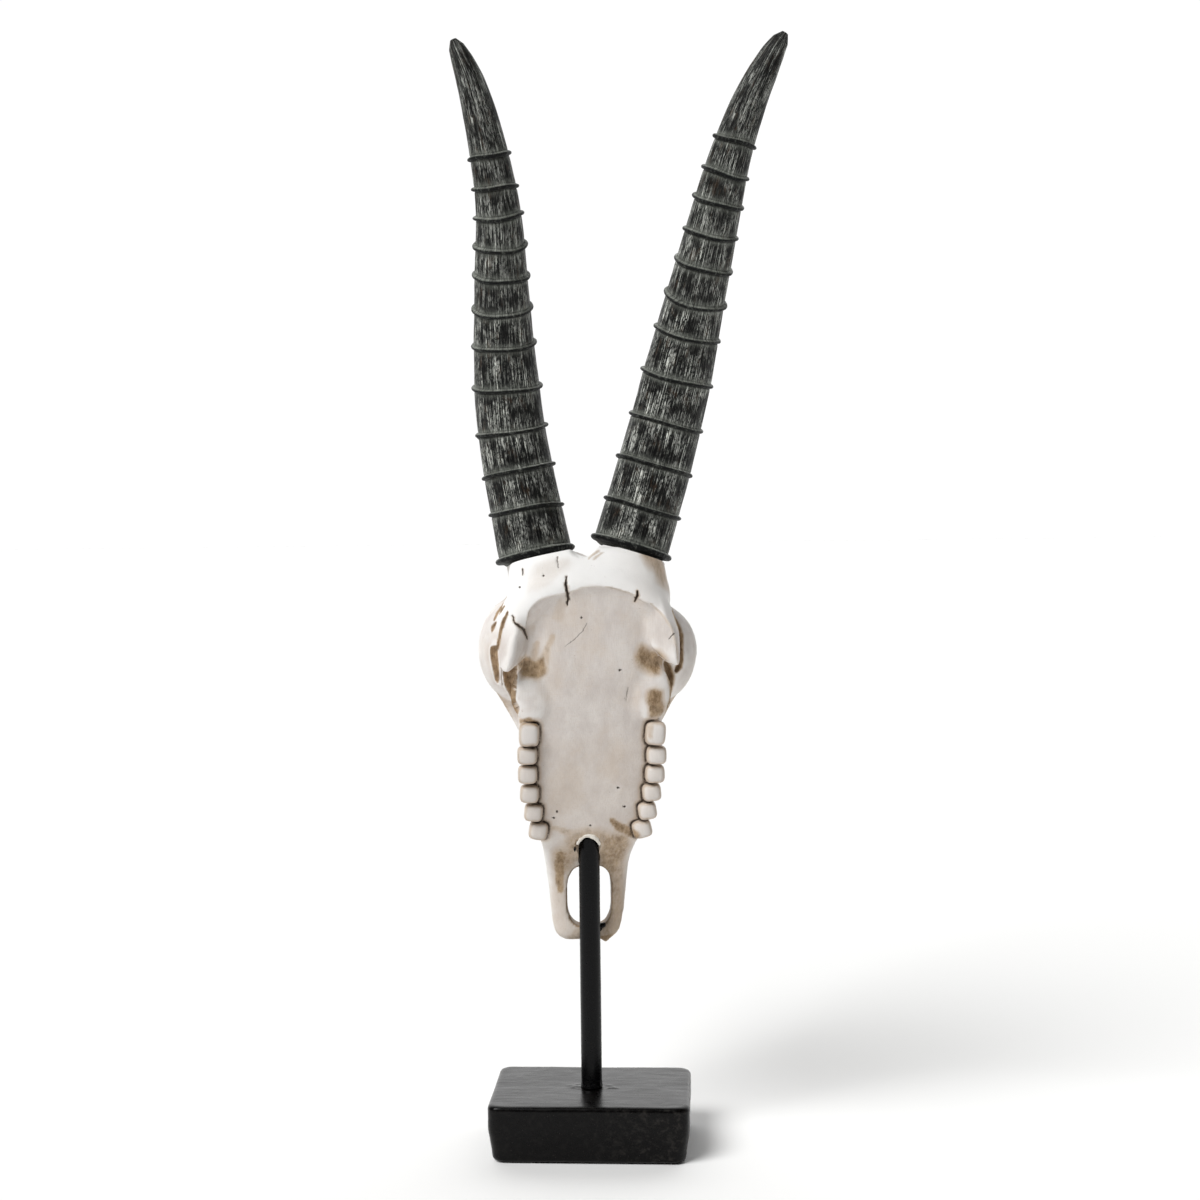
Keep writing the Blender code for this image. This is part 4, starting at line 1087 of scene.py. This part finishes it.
def makeHorn(name, horn, material, node):
    line, reached = hornLine(horn)
    length, make = reached[-1], hornMake
    rows = [0.0]
    while rows[-1] < length - 0.3:
        closest = min(abs(rows[-1] - ring) for ring in horn["rings"])
        step = make["ringRowGap"] if closest < make["ringReach"] else make["rowGap"]
        if length - rows[-1] < 8:
            step = 0.5
        rows.append(min(rows[-1] + step, length))
    rows = np.array(rows)
    sides = make["sides"]
    centre = np.stack([np.interp(rows, reached, line[:, axis]) for axis in range(3)], 1)
    along = np.gradient(np.stack([np.interp(np.linspace(0, length, 160), reached, line[:, axis])
                                  for axis in range(3)], 1), axis=0)
    along = np.stack([np.interp(rows, np.linspace(0, length, 160), along[:, axis])
                      for axis in range(3)], 1)
    along[0] = along[1] = np.array(hornSeat(horn)[1])
    along /= np.linalg.norm(along, axis=1)[:, None]
    side = np.array((1.0, 0.0, 0.0))
    across = []
    for direction in along:
        side = side - direction * side.dot(direction)
        side /= np.linalg.norm(side)
        across.append(side)
    across = np.array(across)
    around = np.cross(along, across)
    angle = 2 * np.pi * np.arange(sides) / sides
    straight = np.stack((np.tile(np.cos(angle) * make["straightened"], len(rows)),
                         np.tile(np.sin(angle) * make["straightened"], len(rows)),
                         np.repeat(rows, sides)), 1)
    reach = straight[:, 2]
    body = np.interp(reach / length, *zip(*hornGirth)) * horn["girth"]
    seed = horn["seed"]
    slim = np.clip(body / 16, 0.25, 1.0)
    ridges = unevenness(straight, (0.9, 0.9, 22.0), seed, 2)
    lumps = unevenness(straight, (7.0, 7.0, 24.0), seed + 5, 2)
    facets = unevenness(straight, (15.0, 15.0, 90.0), seed + 9)
    radius = body + slim * (0.3 * ridges + 0.32 * lumps + 0.35 * facets)
    ringOut, furrow, byRing, bead = (np.zeros(len(reach)) for _ in range(4))
    turn = np.tile(angle, len(rows))
    for index, ring in enumerate(horn["rings"]):
        half = make["baseRingHalf"] if index == 0 else make["ringHalf"]
        out = make["baseRingOut"] if index == 0 else make["ringOut"]
        phase = latticeValue(np.array([[index, seed, 3]]), seed)[0] * 2 * np.pi
        wave = 0.0 if index == 0 else 0.55 * np.sin(turn + phase) + 0.3 * np.sin(3 * turn + 2.7 * phase)
        away = (reach - ring - wave) / half
        thick = 1 + 0.16 * unevenness(straight, (6.0, 6.0, 500.0), seed + 40 + index)
        ringOut = np.maximum(ringOut, np.sqrt(np.clip(1 - (away / thick) ** 2, 0, 1)) * out * thick)
        # the dark bead stops short of the ring's upper flank, which is left light as a painted highlight on
        # its top
        bead = np.maximum(bead, smoothStep(-1.3, -1.0, away) * smoothStep(0.75, 0.35, away))
        # painted shadow in the furrow just under each ring, fainter just above it; the furrow is also cut in
        # a little
        below, above = np.exp(-((away + 1.25) / 0.32) ** 2), np.exp(-((away - 1.2) / 0.3) ** 2)
        furrow = np.maximum(furrow, below + 0.5 * above)
        byRing = np.maximum(byRing, np.exp(-(away / 2.1) ** 2))
    radius = np.where(ringOut > 0, body + slim * 0.1 * ridges + ringOut, radius - 0.3 * furrow)
    radius = np.where(reach < 1.65, np.minimum(radius, make["collar"] * horn["girth"]), radius)
    radius = np.where(reach < 0.9, make["foot"], radius)
    points = (np.repeat(centre, sides, 0) + radius[:, None]
              * (np.cos(turn)[:, None] * np.repeat(across, sides, 0)
                 + np.sin(turn)[:, None] * np.repeat(around, sides, 0)))
    count = len(rows)
    grid = np.arange(count * sides).reshape(count, sides)
    nextOne = np.roll(grid, -1, axis=1)
    faces = np.stack((grid[:-1], nextOne[:-1], nextOne[1:], grid[1:]), -1).reshape(-1, 4).tolist()
    faces += [grid[0, ::-1].tolist(), grid[-1].tolist()]
    mesh = bpy.data.meshes.new(name)
    mesh.from_pydata((points * mm).tolist(), [], faces)
    addValues(mesh, "alongHorn", straight * mm)
    addValues(mesh, "raised", np.clip(0.5 + 0.9 * ridges, 0, 1))
    addValues(mesh, "byRing", np.clip(byRing, 0, 1))
    addValues(mesh, "furrow", np.clip(furrow * (ringOut <= 0) * 0.85, 0, 1))
    addValues(mesh, "bead", bead)
    thing = bpy.data.objects.new(name, mesh)
    bpy.context.scene.collection.objects.link(thing)
    finishPiece(thing, material, slots[node], node, sharpFrom=70)
    print(name, len(mesh.polygons), "faces")


# Post

post = dict(radius=6.2, foot=33.9, top=185.2, sides=96, rows=240,
            weld=0.5, weldHeight=4.0, wander=0.05)


def makePost():
    rows = np.linspace(post["foot"], post["top"], post["rows"])
    angle = 2 * np.pi * np.arange(post["sides"]) / post["sides"]
    turn, height = np.tile(angle, len(rows)), np.repeat(rows, post["sides"])
    cast = np.stack((np.cos(turn) * 6, np.sin(turn) * 6, height), 1)
    up = np.clip((height - post["foot"]) / post["weldHeight"], 0, 1)
    radius = (post["radius"] + post["weld"] * (1 - up) ** 2.4
              + post["wander"] * unevenness(cast, (5.0, 5.0, 16.0), 61, 2)
              + 0.32 * np.clip(1 - up * 0.45, 0, 1) * (up < 1) * unevenness(cast, (1.6, 1.6, 2.4), 63, 2))
    radius -= smoothStep(-0.8, 0, height - post["top"]) * 0.7
    points = np.stack((np.cos(turn) * radius, np.sin(turn) * radius, height), 1)
    grid = np.arange(len(points)).reshape(len(rows), -1)
    nextOne = np.roll(grid, -1, axis=1)
    faces = np.stack((grid[:-1], nextOne[:-1], nextOne[1:], grid[1:]), -1).reshape(-1, 4).tolist()
    faces += [grid[0, ::-1].tolist(), grid[-1].tolist()]
    mesh = bpy.data.meshes.new("postRod")
    mesh.from_pydata((points * mm).tolist(), [], faces)
    addValues(mesh, "wear", 0.15 + 0.85 * smoothStep(14, 2, height - post["foot"]))
    thing = bpy.data.objects.new("postRod", mesh)
    bpy.context.scene.collection.objects.link(thing)
    finishPiece(thing, brushedEnamel(paintLook["post"], 2), slots["post"], "post")
    print("post made")


# Small pieces: filler pressed in over the post's end, and lumps of black paint beside it

smear = dict(middle=(0.2, -7.6, 180.6), radius=6.5, thickness=1.5, start=4, end=172, rough=0.7)
lumps = (dict(middle=(7.2, 4.6, 130.2), radii=(1.9, 2.2, 1.7)),
         dict(middle=(5.9, 5.6, 127.6), radii=(1.3, 1.8, 1.4)),
         dict(middle=(-7.9, -7.6, 178.2), radii=(0.6, 1.2, 1.7)))


def roughen(thing, grain, height, seed):
    points, normals = readPoints(thing.data), readNormals(thing.data)
    writePoints(thing.data, points + normals * (height * unevenness(points, grain, seed, 3))[:, None])


def makeSmallPieces():
    shape = bmesh.new()
    path = []
    for i in range(33):
        a = math.radians(smear["start"] + (smear["end"] - smear["start"]) * i / 32)
        x, y, z = smear["middle"]
        taper = math.sin(math.pi * (i + 1.5) / 35) ** 0.4
        path.append((x + smear["radius"] * math.cos(a), y - 2.2 * math.sin(a),
                     z + smear["radius"] * math.sin(a), smear["thickness"] * taper))
    addTube(shape, path, 20)
    thing = makeObject("fillerSmear", shape)
    roughen(thing, 2.0, smear["rough"], 91)
    addValues(thing.data, "wear", np.zeros(len(thing.data.vertices)))
    finishPiece(thing, bareFiller(), slots["skull"])
    shape = bmesh.new()
    for row in lumps:
        addBall(shape, row["middle"], row["radii"], rings=16)
    thing = makeObject("paintLumps", shape)
    roughen(thing, 1.8, 0.5, 93)
    addValues(thing.data, "wear", np.full(len(thing.data.vertices), 0.4))
    finishPiece(thing, bpy.data.materials["glossEnamelledRod"], slots["post"])
    print("small pieces made")


# Block

block = dict(size=(118.4, 80.0, 33.6), footShare=0.955, corner=7.0, edge=2.6)


def makeBlock():
    shape = bmesh.new()
    wide, deep, high = block["size"]
    rows = 26
    edge, corner = block["edge"], block["corner"]
    heights = [(0.0, edge)] + [(edge * (1 - math.cos(t)), edge * (1 - math.sin(t)))
                               for t in (math.pi / 2 * i / 7 for i in range(1, 8))]
    levels = heights + [(edge + (high - 2 * edge) * i / rows, 0.0) for i in range(1, rows)]
    levels += [(high - low, inset) for low, inset in reversed(heights)]

    def outline(inset, height):
        share = block["footShare"] + (1 - block["footShare"]) * min(height / (high * 0.55), 1.0)
        halfX, halfY = wide / 2 * share - inset, deep / 2 * share - inset
        radius = max(corner - inset * 0.5, 1.0)
        ring = []
        for cx, cy, start in ((1, 1, 0), (-1, 1, 90), (-1, -1, 180), (1, -1, 270)):
            for i in range(9):
                a = math.radians(start + 90 * i / 8)
                ring.append((cx * (halfX - radius) + radius * math.cos(a),
                             cy * (halfY - radius) + radius * math.sin(a)))
        return ring

    rings = [[(x, y, height) for x, y in outline(inset, height)] for height, inset in levels]
    bridgeRings(shape, rings)
    bmesh.ops.triangulate(shape, faces=[face for face in shape.faces if len(face.verts) > 4])
    thing = makeObject("blockCasting", shape)
    melt = thing.modifiers.new("melt", "REMESH")
    melt.mode, melt.voxel_size = "VOXEL", 1.0 * mm
    soften = thing.modifiers.new("soften", "SMOOTH")
    soften.factor, soften.iterations = 0.5, 3
    settle(thing)
    mesh = thing.data
    points, normals = readPoints(mesh), readNormals(mesh)
    fade = smoothStep(0.5, 6.0, points[:, 2])
    swell = (0.35 * unevenness(points, (30.0, 30.0, 24.0), 71, 2) + 0.12 * unevenness(points, 9.0, 73, 2)
             + 0.05 * unevenness(points, (10.0, 2.4, 2.4), 75, 2)) - 0.3
    weldRing = np.hypot(points[:, 0], points[:, 1])
    onTop = smoothStep(0.5, 0.9, normals[:, 2])
    spatter = onTop * smoothStep(20, 9, weldRing) * smoothStep(6, 2, abs(points[:, 1]))
    spatter = spatter * np.clip(unevenness(points, 2.6, 77, 3) + 0.1, 0, 1)
    points += normals * (swell * fade + 1.3 * spatter)[:, None]
    points[:, 2] = np.clip(points[:, 2], 0, high)
    writePoints(mesh, points)
    edgeWear = smoothStep(0.25, 0.9, -hollowness(mesh, 8))
    facing = smoothStep(0.4, 0.8, -normals[:, 1])
    handled = facing * smoothStep(-10, 50, points[:, 0])
    addValues(mesh, "wear", np.clip(0.15 + 0.75 * edgeWear + 0.55 * handled, 0, 1))
    finishPiece(thing, brushedEnamel(paintLook["block"], 0), slots["base"], "base", sharpFrom=60)
    print("block made:", len(mesh.polygons), "faces")


# Camera, floor and lights

view = dict(azimuth=3.33, elevation=2.9, roll=-0.63, distance=1.065, aim=(0.00815, 0.0, 0.3256), lens=54)
studio = dict(floor="#FAFAF9", seen=1.02,
              room=0.02, wall=1.8,             # a dim room in front and a white wall behind
              sun=2.75, sunSize=32, sunFrom=(-0.47, -0.49, 0.74))


def setCamera():
    data = bpy.data.cameras.new("photoCamera")
    data.lens, data.sensor_width = view["lens"], 36
    data.clip_start, data.clip_end = 0.05, 20
    camera = bpy.data.objects.new("photoCamera", data)
    bpy.context.scene.collection.objects.link(camera)
    a, e, r = (math.radians(view[key]) for key in ("azimuth", "elevation", "roll"))
    back = Vector((math.sin(a) * math.cos(e), -math.cos(a) * math.cos(e), math.sin(e)))
    right = (-back).cross(Vector((0, 0, 1))).normalized()
    up = right.cross(-back)
    matrix = Matrix((right * math.cos(r) + up * math.sin(r), up * math.cos(r) - right * math.sin(r),
                     back)).transposed().to_4x4()
    matrix.translation = Vector(view["aim"]) + back * view["distance"]
    camera.matrix_world = matrix
    bpy.context.scene.camera = camera


def setStudio():
    shape = bmesh.new()
    bmesh.ops.create_grid(shape, x_segments=1, y_segments=1, size=30000)
    floor = makeObject("studioFloor", shape)
    floor.location.z = -0.0004
    material, _, shader = newMaterial("matteFloorPaper", {"Roughness": 1.0, "Specular IOR Level": 0.0})
    shader.inputs["Base Color"].default_value = toLinear(studio["floor"])
    floor.data.materials.append(material)

    world = bpy.data.worlds.new("studio")
    bpy.context.scene.world = world
    world.use_nodes = True
    tree = world.node_tree
    direction = addNode(tree, "ShaderNodeTexCoord").outputs["Generated"]
    depth = addNode(tree, "ShaderNodeSeparateXYZ", {}, {0: direction}).outputs["Y"]
    light = addNode(tree, "ShaderNodeMapRange",
                    {"interpolation_type": "SMOOTHSTEP", "From Min": 0.1, "From Max": 0.8,
                     "To Min": studio["room"], "To Max": studio["wall"]}, {"Value": depth}).outputs[0]
    seen = addNode(tree, "ShaderNodeLightPath").outputs["Is Camera Ray"]
    strength = addNode(tree, "ShaderNodeMix", {3: studio["seen"]}, {0: seen, 2: light}).outputs[0]
    background = tree.nodes["Background"]
    background.inputs["Color"].default_value = (1, 1, 1, 1)
    tree.links.new(strength, background.inputs["Strength"])

    data = bpy.data.lights.new("largeSoftbox", "SUN")
    data.energy, data.angle = studio["sun"], math.radians(studio["sunSize"])
    sun = bpy.data.objects.new("largeSoftbox", data)
    bpy.context.scene.collection.objects.link(sun)
    sun.rotation_euler = Vector(studio["sunFrom"]).to_track_quat("Z", "Y").to_euler()
    bpy.context.scene.view_settings.view_transform = "Standard"


setCamera()
setStudio()
hornMaterial = dryBrushedHorn()
makeHorn("hornCastingLeft", horns["left"], hornMaterial, "horn_left")
makeHorn("hornCastingRight", horns["right"], hornMaterial, "horn_right")
makePost()
makeBlock()
makeSkull()
makeSmallPieces()
